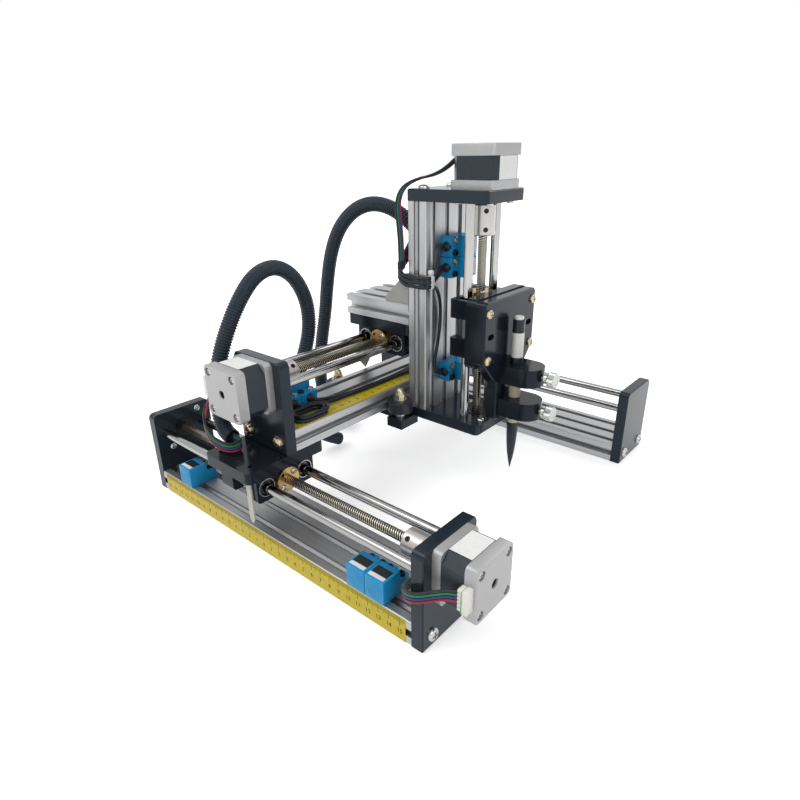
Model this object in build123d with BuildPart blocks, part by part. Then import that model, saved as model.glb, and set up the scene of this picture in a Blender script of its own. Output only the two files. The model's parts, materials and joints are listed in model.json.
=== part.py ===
from build123d import *
from math import pi, radians, tan
import os

# Three-axis screw-driven stage that draws with a pen, in millimetres.
# The origin is the middle of the front rail's underside, +X runs along that rail to its motor,
# +Y runs to the rear rail and +Z is up. Every axis is the same kit in another length.

# Slotted bar
BAR_WIDTH = 60
BAR_THICK = 20
BAR_CORNER = 1.2
SLOT_PITCH = BAR_WIDTH / 3
SLOT_MOUTH = 6.2
SLOT_LIP = 1.8
SLOT_SHOULDER = 1.2
SLOT_INSIDE = 11.2
SLOT_FLOOR = 5.6
SLOT_DEPTH = 5.8
BAR_BORE_RADIUS = 2.15
CAVITY_WIDTH = 5.4
CAVITY_HEIGHT = 13.5
RAIL_LENGTH = 320
COLUMN_LENGTH = 190
REAR_RAIL_PAST_BAR = 4

# End plates
PLATE_THICK = 10
PLATE_CORNER = 5
PLATE_TOP_GAP = 0.5
PLATE_CHAMFER = 0.8
SCREW_RISE = 48
ROD_SPACING = 40
ROD_RADIUS = 4
ROD_SEAT = 8
BOLT_SPACING = 40
BOLT_HEAD_RADIUS = 5
BOLT_HEAD_HEIGHT = 3
BOLT_HEAD_ROUND = 1.2
BOLT_REACH = 12
BEARING_RADIUS = 11
BEARING_WIDTH = 7
BEARING_LIP = 2

# Stepper motor
MOTOR_WIDTH = 42.3
MOTOR_CORNER = 4.5
STATOR_CORNER = 7.5
MOTOR_FLANGE = 7
MOTOR_STATOR = 18
MOTOR_CAP = 9
MOTOR_SCREW_SPACING = 31
MOTOR_SCREW_RADIUS = 1.5
MOTOR_SCREW_HEAD = 2.75
MOTOR_SCREW_HEAD_HEIGHT = 2
MOTOR_SCREW_HOLD = 4
MOTOR_BOSS_RADIUS = 11
MOTOR_BOSS_HEIGHT = 2
MOTOR_REAR_HOLE_RADIUS = 3
MOTOR_REAR_CHAMFER = 0.8
MOTOR_SHAFT_RADIUS = 2.5
MOTOR_SHAFT_DEPTH = 6
MOTOR_SHAFT_END_GAP = 0.5
SOCKET_WIDTH = 17
SOCKET_DEPTH = 8
SOCKET_REACH = 7
SOCKET_SETBACK = 1

# Screw drive
SCREW_RADIUS = 4
SCREW_CHAMFER = 0.6
RUNNING_GAP = 0.05
COUPLER_RADIUS = 10
COUPLER_LENGTH = 25
COUPLER_SETBACK = 2
COUPLER_CHAMFER = 0.8
NUT_FLANGE_RADIUS = 11
NUT_FLANGE_THICK = 3.5
NUT_BODY_RADIUS = 5.1
NUT_LENGTH = 15
NUT_SCREW_CIRCLE_DIAMETER = 16
NUT_SCREW_RADIUS = 1.5

# Carriages
TABLE_WIDTH = 80
TABLE_LENGTH = 60
TABLE_THICK = 10
TABLE_CORNER = 5
TABLE_RISE = 70
BLOCK_WIDTH = 60
BLOCK_LENGTH = 16
BLOCK_SPAN = 50
BLOCK_DROP = 24
BLOCK_CORNER = 3
BLOCK_ARCH_RADIUS = 7.5
BLOCK_ARCH_DROP = 14.5
BUSHING_RADIUS = 7.5
BUSHING_LENGTH = 45
TABLE_HOLE_RADIUS = 2.1
TABLE_HOLE_SPACING_ALONG = 40
TABLE_HOLE_SPACING_ACROSS = 60

# Where the axes stand at rest
GANTRY_AT = -26
CROSS_AT = 174
Z_CARRIAGE_AT = 167

# Sensors
SENSOR_WIDTH = 18
SENSOR_LENGTH = 28
SENSOR_HEIGHT = 19.5
SENSOR_CORNER = 1
SENSOR_TAIL = 10
SENSOR_TAIL_HEIGHT = 11.5
SENSOR_HOLE_RADIUS = 1.6
SENSOR_HOLE_SPACING = 11
SENSOR_SCREW_HEAD = 2.9
SENSOR_SCREW_HEAD_HEIGHT = 2
SENSOR_NOTCH_RADIUS = 1.6
SENSOR_PITCH = 18.4
X_SENSORS_FROM_MOTOR = 33.6
X_SENSOR_FROM_IDLER = 43
Y_SENSORS_FROM_MOTOR = 26.5
Z_SENSORS_FROM_MOTOR = 38.6
Z_SENSOR_FROM_IDLER = 34.4
Z_SENSOR_HEAD_SIDE = -20

# Rulers and pointers
TAPE_END_GAP = 5
TAPE_THICK = 0.3
X_TAPE_WIDTH = 19
Y_TAPE_WIDTH = 16
Y_TAPE_EDGE_GAP = 0.7
POINTER_WIDTH = 6.5
POINTER_THICK = 1.5
POINTER_TIP = 5
X_POINTER_DROP = 45
X_POINTER_SETBACK = 9
X_POINTER_GAP = 0.3
Y_POINTER_WIDTH = 25
Y_POINTER_TIP_RISE = 10.5
Y_POINTER_CUT_RISE = 25

# Arm and its corner bracket
BRACKET_LEG = 28
BRACKET_WIDTH = 20
BRACKET_WALL = 3
BRACKET_TIP = 4

# Guide rollers
ROLLER_RADIUS = 12
ROLLER_WIDTH = 11
ROLLER_GAP = 0.3
ROLLER_PLACE = 128
ROLLER_BOLT_RADIUS = 3
ROLLER_BAR_THICK = 9
ROLLER_BAR_DEPTH = 16
ROLLER_LUG = 18
ROLLER_SPACER_RADIUS = 5
ROLLER_CLEAR = 0.5
ROLLER_CORNER = 1.2
ROLLER_BAR_DROP = 5.4
ROLLER_WASHER_RADIUS = 6.5
ROLLER_WASHER = 1.5
ROLLER_NUT_HEIGHT = 5
ROLLER_STUD = 8

# Pen holder
PEN_PLATE_THICK = 10
PEN_PLATE_WIDTH = 81
PEN_PLATE_TOP = 29
PEN_PLATE_STRAIGHT = 52
PEN_PLATE_TAPER = 14
PEN_TONGUE_WIDTH = 36
PEN_PLATE_DROP = 111
PEN_BOLT_SPACING_ACROSS = 70
PEN_BOLT_SPACING_UP = 40
PEN_BOLT_DROP = 30
PEN_PLATE_CORNER = 4
PEN_PLATE_CHAMFER = 1
PEN_NECK = 10
PEN_SLOT_SPACING = 62
PEN_SLOT_LENGTH = 9
PEN_SLOT_WIDTH = 5
PEN_SCREW_HEAD = 4
PEN_SCREW_HEAD_HEIGHT = 2.6
PEN_SCREW_HEAD_ROUND = 1
LUG_HEIGHT = 16
LUG_WIDTH = 30
LUG_REACH = 34
LUG_UPPER_AT = 129
LUG_LOWER_AT = 98
PEN_REACH = 8
PEN_RADIUS = 5.3
PEN_HOLE_GAP = 0.4
PEN_CAP_LENGTH = 12
PEN_CAP_STEP = 0.2
PEN_CAP_CHAMFER = 0.8
PEN_PROFILE = [(0.4, 0), (1.2, 6), (3.2, 30), (4.6, 48)]
PEN_CONE = 50
PEN_TOP_AT = 179
PEN_TIP_AT = 33
THUMB_HEAD_RADIUS = 6.5
THUMB_HEAD_LENGTH = 11
THUMB_SCREW_RADIUS = 2
THUMB_STANDOFF = 2
THUMB_POINT_GAP = 0.3
THUMB_CHAMFER = 0.6

# Cords
HOSE_RADIUS = 7
LEAD_RADIUS = 0.9
LEAD_PITCH = 2.4
WIRES_IN_LEAD = 4
SENSOR_CABLE_RADIUS = 1.6
COIL_LENGTH = 40
COIL_WIDTH = 24
COIL_HOLE_LENGTH = 24
COIL_HOLE_WIDTH = 8
COIL_HEIGHT = 7
COIL_AT = 45
COIL_OFFSET = 18

os.makedirs("parts", exist_ok=True)

# Each axis has a plane at the middle of its bar: x along the travel to the motor, z to the carriage
rail_middle = BAR_THICK / 2
gantry_middle = rail_middle + TABLE_RISE + BAR_THICK / 2
column_foot = gantry_middle - BAR_THICK / 2
gantry_reach = PLATE_THICK + RAIL_LENGTH / 2
rear_reach = gantry_reach + RAIL_LENGTH / 2 + REAR_RAIL_PAST_BAR
arm_rise = gantry_middle + TABLE_RISE
column_at = GANTRY_AT + TABLE_WIDTH / 2 + BAR_THICK / 2
x_axis = Plane(origin=(0, 0, rail_middle), x_dir=(1, 0, 0), z_dir=(0, 0, 1))
rear_axis = Plane(origin=(0, rear_reach, rail_middle), x_dir=(1, 0, 0), z_dir=(0, 0, 1))
y_axis = Plane(origin=(GANTRY_AT, gantry_reach, gantry_middle), x_dir=(0, -1, 0), z_dir=(0, 0, 1))
z_axis = Plane(
    origin=(column_at, CROSS_AT, column_foot + COLUMN_LENGTH / 2), x_dir=(0, 0, 1), z_dir=(1, 0, 0)
)
y_rest = y_axis.origin.Y - CROSS_AT
z_rest = Z_CARRIAGE_AT - z_axis.origin.Z


def across(axis, along, side=0, rise=0):
    """Plane square to the travel: x runs to the axis's side, y away from its bar."""
    origin = axis.from_local_coords(Vector(along, side, rise))
    return Plane(origin=origin, x_dir=axis.y_dir, z_dir=axis.x_dir)


def above(axis, rise, along=0, side=0):
    """Plane parallel to the bar's wide face: x runs along the travel."""
    origin = axis.from_local_coords(Vector(along, side, rise))
    return Plane(origin=origin, x_dir=axis.x_dir, z_dir=axis.z_dir)


def beside(axis, side, along=0, rise=0):
    """Plane that faces the axis's side: x runs along the travel, y towards the bar's underside."""
    origin = axis.from_local_coords(Vector(along, side, rise))
    return Plane(origin=origin, x_dir=axis.x_dir, z_dir=axis.y_dir)


def save(piece, node):
    piece.label = node
    export_step(piece, f"parts/{node}.step")


# Slotted bars


def slot_outline():
    with BuildSketch() as outline:
        with BuildLine():
            Polyline(
                (-SLOT_MOUTH / 2, SLOT_LIP),
                (-SLOT_MOUTH / 2, -SLOT_LIP),
                (-SLOT_INSIDE / 2, -SLOT_LIP),
                (-SLOT_INSIDE / 2, -SLOT_LIP - SLOT_SHOULDER),
                (-SLOT_FLOOR / 2, -SLOT_DEPTH),
                (SLOT_FLOOR / 2, -SLOT_DEPTH),
                (SLOT_INSIDE / 2, -SLOT_LIP - SLOT_SHOULDER),
                (SLOT_INSIDE / 2, -SLOT_LIP),
                (SLOT_MOUTH / 2, -SLOT_LIP),
                (SLOT_MOUTH / 2, SLOT_LIP),
                close=True,
            )
        make_face()
    return outline.sketch


def slotted_bar(middle, length):
    """A bar extruded both ways from the plane square to it at its middle."""
    slot = slot_outline()
    with BuildPart() as bar:
        with BuildSketch(middle) as section:
            Rectangle(BAR_WIDTH, BAR_THICK)
            fillet(section.vertices(), BAR_CORNER)
            with GridLocations(SLOT_PITCH, 0, 3, 1):
                Circle(BAR_BORE_RADIUS, mode=Mode.SUBTRACT)
            with GridLocations(SLOT_PITCH, 0, 2, 1):
                Rectangle(CAVITY_WIDTH, CAVITY_HEIGHT, mode=Mode.SUBTRACT)
            for column in (-SLOT_PITCH, 0, SLOT_PITCH):
                with Locations(Location((column, BAR_THICK / 2), 0), Location((column, -BAR_THICK / 2), 180)):
                    add(slot, mode=Mode.SUBTRACT)
            with Locations(Location((BAR_WIDTH / 2, 0), -90), Location((-BAR_WIDTH / 2, 0), 90)):
                add(slot, mode=Mode.SUBTRACT)
        extrude(amount=length / 2, both=True)
    return bar.part


save(slotted_bar(across(x_axis, 0), RAIL_LENGTH), "front_profile")
save(slotted_bar(across(rear_axis, 0), RAIL_LENGTH), "rear_profile")
save(slotted_bar(across(y_axis, 0), RAIL_LENGTH), "y_profile")
save(slotted_bar(across(z_axis, 0), COLUMN_LENGTH), "z_profile")
arm_axis = Plane(
    origin=(GANTRY_AT, CROSS_AT, arm_rise + BAR_THICK / 2), x_dir=(1, 0, 0), z_dir=(0, 0, 1)
)
save(slotted_bar(across(arm_axis, 0), TABLE_WIDTH), "arm_profile")

# End plates: flush with the bar's underside, a little lower than the carriage's table
plate_height = BAR_THICK / 2 + TABLE_RISE - PLATE_TOP_GAP
plate_middle = (TABLE_RISE - PLATE_TOP_GAP - BAR_THICK / 2) / 2
bolt_places = [(-BOLT_SPACING / 2, 0), (BOLT_SPACING / 2, 0)]
rod_places = [(-ROD_SPACING / 2, SCREW_RISE), (ROD_SPACING / 2, SCREW_RISE)]


def end_plate(inner, outward, drive):
    """Plate from this inner face outwards, with holes for its rods, bolts and drive."""
    with BuildPart() as plate:
        with BuildSketch(inner) as outline:
            with Locations((0, plate_middle)):
                Rectangle(BAR_WIDTH, plate_height)
            fillet(outline.vertices().sort_by(Axis.Y)[-2:], PLATE_CORNER)
            with Locations(bolt_places):
                Circle(BAR_BORE_RADIUS, mode=Mode.SUBTRACT)
            if drive == "motor":
                with Locations((0, SCREW_RISE)):
                    Circle(MOTOR_BOSS_RADIUS, mode=Mode.SUBTRACT)
                    with GridLocations(MOTOR_SCREW_SPACING, MOTOR_SCREW_SPACING, 2, 2):
                        Circle(MOTOR_SCREW_RADIUS, mode=Mode.SUBTRACT)
            if drive == "idler":
                with Locations((0, SCREW_RISE)):
                    Circle(BEARING_RADIUS - BEARING_LIP, mode=Mode.SUBTRACT)
        extrude(amount=outward * PLATE_THICK)
        outer_face = plate.faces().sort_by(Axis((0, 0, 0), inner.z_dir * outward))[-1]
        chamfer(outer_face.outer_wire().edges(), PLATE_CHAMFER)
        with BuildSketch(inner):
            with Locations(rod_places):
                Circle(ROD_RADIUS)
        extrude(amount=outward * ROD_SEAT, mode=Mode.SUBTRACT)
        if drive == "idler":
            with BuildSketch(inner):
                with Locations((0, SCREW_RISE)):
                    Circle(BEARING_RADIUS)
            extrude(amount=outward * BEARING_WIDTH, mode=Mode.SUBTRACT)
    return plate.part


def pair_of_rods(axis, length):
    with BuildPart() as rods:
        with BuildSketch(across(axis, 0)):
            with Locations(rod_places):
                Circle(ROD_RADIUS)
        extrude(amount=length / 2 + ROD_SEAT, both=True)
    return rods.part


def plate_bolts(outer, outward):
    """Two pan-head bolts from the plate's outer face into the bar's bores."""
    with BuildPart() as bolts:
        with BuildSketch(outer):
            with Locations(bolt_places):
                Circle(BOLT_HEAD_RADIUS)
        extrude(amount=outward * BOLT_HEAD_HEIGHT)
        heads = bolts.faces().sort_by(Axis((0, 0, 0), outer.z_dir * outward))[-2:]
        fillet(heads.edges(), BOLT_HEAD_ROUND)
        with BuildSketch(outer):
            with Locations(bolt_places):
                Circle(BAR_BORE_RADIUS)
        extrude(amount=-outward * (PLATE_THICK + BOLT_REACH))
    return bolts.part


def motor_screws(inner):
    """Four screws from the motor plate's inner face into the motor's flange."""
    with BuildPart() as screws:
        with BuildSketch(inner):
            with Locations((0, SCREW_RISE)):
                with GridLocations(MOTOR_SCREW_SPACING, MOTOR_SCREW_SPACING, 2, 2):
                    Circle(MOTOR_SCREW_RADIUS)
        extrude(amount=PLATE_THICK + MOTOR_SCREW_HOLD)
        with BuildSketch(inner):
            with Locations((0, SCREW_RISE)):
                with GridLocations(MOTOR_SCREW_SPACING, MOTOR_SCREW_SPACING, 2, 2):
                    Circle(MOTOR_SCREW_HEAD)
        extrude(amount=-MOTOR_SCREW_HEAD_HEIGHT)
    return screws.part


def end_bearing(inner):
    """Ball bearing let into the idler plate; the screw turns in it."""
    with BuildPart() as bearing:
        with BuildSketch(inner):
            with Locations((0, SCREW_RISE)):
                Circle(BEARING_RADIUS)
                Circle(SCREW_RADIUS + RUNNING_GAP, mode=Mode.SUBTRACT)
        extrude(amount=-BEARING_WIDTH)
    return bearing.part


def motor(mounting, socket_side):
    """Stepper motor on this face: flange with boss, stator, rear cap and white socket."""
    square_middle = Locations((0, SCREW_RISE))
    with BuildPart() as flange:
        with BuildSketch(mounting) as outline:
            with square_middle:
                Rectangle(MOTOR_WIDTH, MOTOR_WIDTH)
            chamfer(outline.vertices(), MOTOR_CORNER)
            with square_middle:
                with GridLocations(MOTOR_SCREW_SPACING, MOTOR_SCREW_SPACING, 2, 2):
                    Circle(MOTOR_SCREW_RADIUS, mode=Mode.SUBTRACT)
        extrude(amount=MOTOR_FLANGE)
        with BuildSketch(mounting):
            with square_middle:
                Circle(MOTOR_BOSS_RADIUS)
        extrude(amount=-MOTOR_BOSS_HEIGHT)
        with BuildSketch(mounting.offset(-MOTOR_BOSS_HEIGHT)):
            with square_middle:
                Circle(MOTOR_SHAFT_RADIUS + RUNNING_GAP)
        extrude(amount=MOTOR_SHAFT_DEPTH, mode=Mode.SUBTRACT)
    with BuildPart() as stator:
        with BuildSketch(mounting.offset(MOTOR_FLANGE)) as outline:
            with square_middle:
                Rectangle(MOTOR_WIDTH, MOTOR_WIDTH)
            chamfer(outline.vertices(), STATOR_CORNER)
        extrude(amount=MOTOR_STATOR)
    with BuildPart() as cap:
        with BuildSketch(mounting.offset(MOTOR_FLANGE + MOTOR_STATOR)) as outline:
            with square_middle:
                Rectangle(MOTOR_WIDTH, MOTOR_WIDTH)
            chamfer(outline.vertices(), MOTOR_CORNER)
        extrude(amount=MOTOR_CAP)
        chamfer(cap.faces().sort_by(Axis((0, 0, 0), mounting.z_dir))[-1].edges(), MOTOR_REAR_CHAMFER)
        rear = mounting.offset(MOTOR_FLANGE + MOTOR_STATOR + MOTOR_CAP)
        with BuildSketch(rear):
            with square_middle:
                Circle(MOTOR_REAR_HOLE_RADIUS)
                with GridLocations(MOTOR_SCREW_SPACING, MOTOR_SCREW_SPACING, 2, 2):
                    Circle(MOTOR_SCREW_HEAD)
        extrude(amount=-MOTOR_SCREW_HEAD_HEIGHT, mode=Mode.SUBTRACT)
    middle = rear.from_local_coords(Vector(0, SCREW_RISE, 0))
    socket_plane = Plane(origin=middle, x_dir=socket_side, z_dir=mounting.z_dir)
    with BuildPart() as socket:
        with BuildSketch(socket_plane.offset(-MOTOR_CAP - SOCKET_SETBACK)):
            with Locations((MOTOR_WIDTH / 2 + SOCKET_REACH / 2, 0)):
                Rectangle(SOCKET_REACH, SOCKET_WIDTH)
        extrude(amount=SOCKET_DEPTH)
    return Compound(children=[flange.part, stator.part, cap.part, socket.part])


def coupler(axis, half_length):
    """Clamping sleeve between motor shaft and lead screw, with two set screws."""
    end = half_length - COUPLER_SETBACK
    with BuildPart() as sleeve:
        with BuildSketch(across(axis, end)):
            with Locations((0, SCREW_RISE)):
                Circle(COUPLER_RADIUS)
                Circle(SCREW_RADIUS, mode=Mode.SUBTRACT)
        extrude(amount=-COUPLER_LENGTH)
        with BuildSketch(across(axis, end)):
            with Locations((0, SCREW_RISE)):
                Circle(SCREW_RADIUS)
                Circle(MOTOR_SHAFT_RADIUS, mode=Mode.SUBTRACT)
        extrude(amount=-COUPLER_LENGTH / 2)
        rims = sleeve.edges().filter_by(GeomType.CIRCLE).filter_by(lambda e: e.radius > SCREW_RADIUS)
        chamfer(rims, COUPLER_CHAMFER)
    return sleeve.part


def lead_screw(axis, half_length):
    """Threaded rod from the coupler's middle to the idler bearing, and the motor's shaft."""
    middle = half_length - COUPLER_SETBACK - COUPLER_LENGTH / 2
    with BuildPart() as rod:
        with BuildSketch(across(axis, middle)):
            with Locations((0, SCREW_RISE)):
                Circle(SCREW_RADIUS)
        extrude(amount=-(middle + half_length + BEARING_WIDTH))
        chamfer(rod.edges().filter_by(GeomType.CIRCLE), SCREW_CHAMFER)
    with BuildPart() as shaft:
        with BuildSketch(across(axis, middle)):
            with Locations((0, SCREW_RISE)):
                Circle(MOTOR_SHAFT_RADIUS)
        shaft_end = half_length + PLATE_THICK - MOTOR_BOSS_HEIGHT + MOTOR_SHAFT_DEPTH - MOTOR_SHAFT_END_GAP
        extrude(amount=shaft_end - middle)
    return Compound(children=[rod.part, shaft.part])


# The three driven axes share these pieces
half = {"x": RAIL_LENGTH / 2, "y": RAIL_LENGTH / 2, "z": COLUMN_LENGTH / 2}
axes = {"x": x_axis, "y": y_axis, "z": z_axis}
socket_sides = {"x": (0, -1, 0), "y": (-1, 0, 0), "z": (-1, 0, 0)}
hardware = {}
for name, axis in axes.items():
    end = half[name]
    save(end_plate(across(axis, end), 1, "motor"), f"{name}_motor_plate")
    save(end_plate(across(axis, -end), -1, "idler"), f"{name}_idler_plate")
    save(motor(across(axis, end + PLATE_THICK), socket_sides[name]), f"{name}_motor")
    save(coupler(axis, end), f"{name}_coupler")
    save(lead_screw(axis, end), f"{name}_leadscrew")
    hardware[name] = [
        plate_bolts(across(axis, end + PLATE_THICK), 1),
        plate_bolts(across(axis, -end - PLATE_THICK), -1),
        motor_screws(across(axis, end)),
        end_bearing(across(axis, -end)),
    ]
save(pair_of_rods(y_axis, RAIL_LENGTH), "y_rods")
save(pair_of_rods(z_axis, COLUMN_LENGTH), "z_rods")
rods = [pair_of_rods(x_axis, RAIL_LENGTH), pair_of_rods(rear_axis, RAIL_LENGTH)]
save(Compound(children=rods), "rail_rods")
save(end_plate(across(rear_axis, RAIL_LENGTH / 2), 1, "plain"), "rear_right_plate")
save(end_plate(across(rear_axis, -RAIL_LENGTH / 2), -1, "plain"), "rear_left_plate")
rear_end = RAIL_LENGTH / 2 + PLATE_THICK
rear_bolts = [plate_bolts(across(rear_axis, rear_end), 1), plate_bolts(across(rear_axis, -rear_end), -1)]

# Carriages: a table on two cross blocks that hold the ball bushings
TABLE_UNDER = TABLE_RISE - TABLE_THICK
bushing_places = rod_places


def carriage(axis, rest):
    """Moulded carriage: table, two bearing blocks with arched undersides, nut bore in one."""
    with BuildPart() as body:
        for side in (-1, 1):
            block_middle = rest + side * (BLOCK_SPAN - BLOCK_LENGTH) / 2
            with BuildSketch(across(axis, block_middle)) as section:
                with Locations((0, TABLE_UNDER - BLOCK_DROP / 2)):
                    Rectangle(BLOCK_WIDTH, BLOCK_DROP)
                fillet(section.vertices(), BLOCK_CORNER)
                with Locations((0, SCREW_RISE - BLOCK_ARCH_DROP)):
                    Circle(BLOCK_ARCH_RADIUS, mode=Mode.SUBTRACT)
                with Locations(bushing_places):
                    Circle(BUSHING_RADIUS, mode=Mode.SUBTRACT)
                with Locations((0, SCREW_RISE)):
                    Circle(NUT_BODY_RADIUS, mode=Mode.SUBTRACT)
            extrude(amount=BLOCK_LENGTH / 2, both=True)
        with BuildSketch(above(axis, TABLE_UNDER, rest)) as table:
            Rectangle(TABLE_LENGTH, TABLE_WIDTH)
            fillet(table.vertices(), TABLE_CORNER)
        extrude(amount=TABLE_THICK)
        with BuildSketch(above(axis, TABLE_RISE, rest)):
            with GridLocations(TABLE_HOLE_SPACING_ALONG, TABLE_HOLE_SPACING_ACROSS, 2, 2):
                Circle(TABLE_HOLE_RADIUS)
        extrude(amount=-TABLE_THICK, mode=Mode.SUBTRACT)
    return body.part


def bushings(axis, rest):
    """One long ball bushing on each rod."""
    with BuildPart() as sleeves:
        with BuildSketch(across(axis, rest)):
            with Locations(bushing_places):
                Circle(BUSHING_RADIUS)
            with Locations(bushing_places):
                Circle(ROD_RADIUS + RUNNING_GAP, mode=Mode.SUBTRACT)
        extrude(amount=BUSHING_LENGTH / 2, both=True)
    return sleeves.part


def nut(axis, rest):
    """Flanged brass nut let into the block nearer the motor."""
    face = rest + BLOCK_SPAN / 2
    with BuildPart() as body:
        with BuildSketch(across(axis, face)):
            with Locations((0, SCREW_RISE)):
                Circle(NUT_BODY_RADIUS)
        extrude(amount=-(NUT_LENGTH - NUT_FLANGE_THICK))
        with BuildSketch(across(axis, face)):
            with Locations((0, SCREW_RISE)):
                Circle(NUT_FLANGE_RADIUS)
                with PolarLocations(NUT_SCREW_CIRCLE_DIAMETER / 2, 4, start_angle=45):
                    Circle(NUT_SCREW_RADIUS, mode=Mode.SUBTRACT)
        extrude(amount=NUT_FLANGE_THICK)
        with BuildSketch(across(axis, face - NUT_LENGTH)):
            with Locations((0, SCREW_RISE)):
                Circle(SCREW_RADIUS + RUNNING_GAP)
        extrude(amount=2 * NUT_LENGTH, mode=Mode.SUBTRACT)
    return body.part


save(carriage(x_axis, GANTRY_AT), "x_carriage")
save(carriage(rear_axis, GANTRY_AT), "rear_carriage")
save(carriage(y_axis, y_rest), "y_carriage")
save(carriage(z_axis, z_rest), "z_carriage")
gantry_bushings = [bushings(x_axis, GANTRY_AT), bushings(rear_axis, GANTRY_AT)]
save(Compound(children=gantry_bushings), "gantry_bushings")
save(bushings(y_axis, y_rest), "y_bushings")
save(bushings(z_axis, z_rest), "z_bushings")
save(nut(x_axis, GANTRY_AT), "x_nut")
save(nut(y_axis, y_rest), "y_nut")
save(nut(z_axis, z_rest), "z_nut")


# Limit sensors


def sensor(axis, along, head_side):
    """Block with a sensing head, a lower tail with two screw holes and a round cable notch."""
    seat = above(axis, BAR_THICK / 2, along, head_side)
    with BuildPart() as body:
        with BuildSketch(seat) as outline:
            with Locations((0, SENSOR_LENGTH / 2)):
                Rectangle(SENSOR_WIDTH, SENSOR_LENGTH)
            fillet(outline.vertices(), SENSOR_CORNER)
        extrude(amount=SENSOR_HEIGHT)
        with BuildSketch(seat.offset(SENSOR_HEIGHT)):
            with Locations((0, SENSOR_LENGTH - SENSOR_TAIL / 2)):
                Rectangle(SENSOR_WIDTH, SENSOR_TAIL)
        extrude(amount=SENSOR_TAIL_HEIGHT - SENSOR_HEIGHT, mode=Mode.SUBTRACT)
        with BuildSketch(seat):
            with Locations((0, SENSOR_LENGTH - SENSOR_TAIL / 2)):
                with GridLocations(SENSOR_HOLE_SPACING, 0, 2, 1):
                    Circle(SENSOR_HOLE_RADIUS)
            with Locations((0, SENSOR_LENGTH)):
                Circle(SENSOR_NOTCH_RADIUS)
        extrude(amount=SENSOR_HEIGHT, mode=Mode.SUBTRACT)
    return body.part


def sensor_screws(axis, along, head_side):
    """Two cap screws that clamp the sensor's tail to the bar."""
    tail = above(axis, BAR_THICK / 2 + SENSOR_TAIL_HEIGHT, along, head_side + SENSOR_LENGTH - SENSOR_TAIL / 2)
    with BuildPart() as screws:
        with BuildSketch(tail):
            with GridLocations(SENSOR_HOLE_SPACING, 0, 2, 1):
                Circle(SENSOR_HOLE_RADIUS)
        extrude(amount=-SENSOR_TAIL_HEIGHT)
        with BuildSketch(tail):
            with GridLocations(SENSOR_HOLE_SPACING, 0, 2, 1):
                Circle(SENSOR_SCREW_HEAD)
        extrude(amount=SENSOR_SCREW_HEAD_HEIGHT)
    return screws.part


# Two sensors stand side by side near each motor, and X and Z have a third near the idler plate
from_motor = {"x": X_SENSORS_FROM_MOTOR, "y": Y_SENSORS_FROM_MOTOR, "z": Z_SENSORS_FROM_MOTOR}
from_idler = {"x": X_SENSOR_FROM_IDLER, "z": Z_SENSOR_FROM_IDLER}
head_sides = {"x": -BAR_WIDTH / 2, "y": -BAR_WIDTH / 2, "z": Z_SENSOR_HEAD_SIDE}
for name, side in head_sides.items():
    nearest = half[name] - from_motor[name]
    places = [(nearest, side), (nearest - SENSOR_PITCH, side)]
    if name in from_idler:
        places.append((from_idler[name] - half[name], side))
    blocks = [sensor(axes[name], along, side) for along, side in places]
    save(Compound(children=blocks), f"{name}_sensors")
    hardware[name] += [sensor_screws(axes[name], along, side) for along, side in places]

# Ruler tapes, a little shorter than their bars
tape_length = RAIL_LENGTH - 2 * TAPE_END_GAP
y_tape_side = BAR_WIDTH / 2 - Y_TAPE_EDGE_GAP - Y_TAPE_WIDTH / 2
with BuildPart() as x_ruler:
    with BuildSketch(beside(x_axis, -BAR_WIDTH / 2)):
        Rectangle(tape_length, X_TAPE_WIDTH)
    extrude(amount=-TAPE_THICK)
save(x_ruler.part, "x_ruler")

with BuildPart() as y_ruler:
    with BuildSketch(above(y_axis, BAR_THICK / 2, 0, y_tape_side)):
        Rectangle(tape_length, Y_TAPE_WIDTH)
    extrude(amount=TAPE_THICK)
save(y_ruler.part, "y_ruler")

# Pointers: the X one hangs in front of the rail, the Y one beside the gantry bar
pointer_top = TABLE_RISE - TABLE_THICK
x_pointer_at = GANTRY_AT + BLOCK_SPAN / 2 - X_POINTER_SETBACK
with BuildPart() as x_pointer:
    with BuildSketch(beside(x_axis, -BLOCK_WIDTH / 2 - X_POINTER_GAP, x_pointer_at)):
        with BuildLine():
            Polyline(
                (-POINTER_WIDTH / 2, -pointer_top),
                (POINTER_WIDTH / 2, -pointer_top),
                (POINTER_WIDTH / 2, X_POINTER_DROP - pointer_top - POINTER_TIP),
                (0, X_POINTER_DROP - pointer_top),
                (-POINTER_WIDTH / 2, X_POINTER_DROP - pointer_top - POINTER_TIP),
                close=True,
            )
        make_face()
    extrude(amount=-POINTER_THICK)
save(x_pointer.part, "x_pointer")

y_pointer_at = y_rest + BLOCK_SPAN / 2 - BLOCK_LENGTH / 2
y_pointer_top = pointer_top - BLOCK_DROP / 2
with BuildPart() as y_pointer:
    with BuildSketch(beside(y_axis, -BLOCK_WIDTH / 2, y_pointer_at)):
        with BuildLine():
            Polyline(
                (-BLOCK_LENGTH / 2, -y_pointer_top),
                (BLOCK_LENGTH / 2, -y_pointer_top),
                (Y_POINTER_WIDTH / 2, -Y_POINTER_CUT_RISE),
                (0, -Y_POINTER_TIP_RISE),
                (-Y_POINTER_WIDTH / 2, -Y_POINTER_CUT_RISE),
                close=True,
            )
        make_face()
    extrude(amount=-POINTER_THICK)
save(y_pointer.part, "y_pointer")

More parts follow.
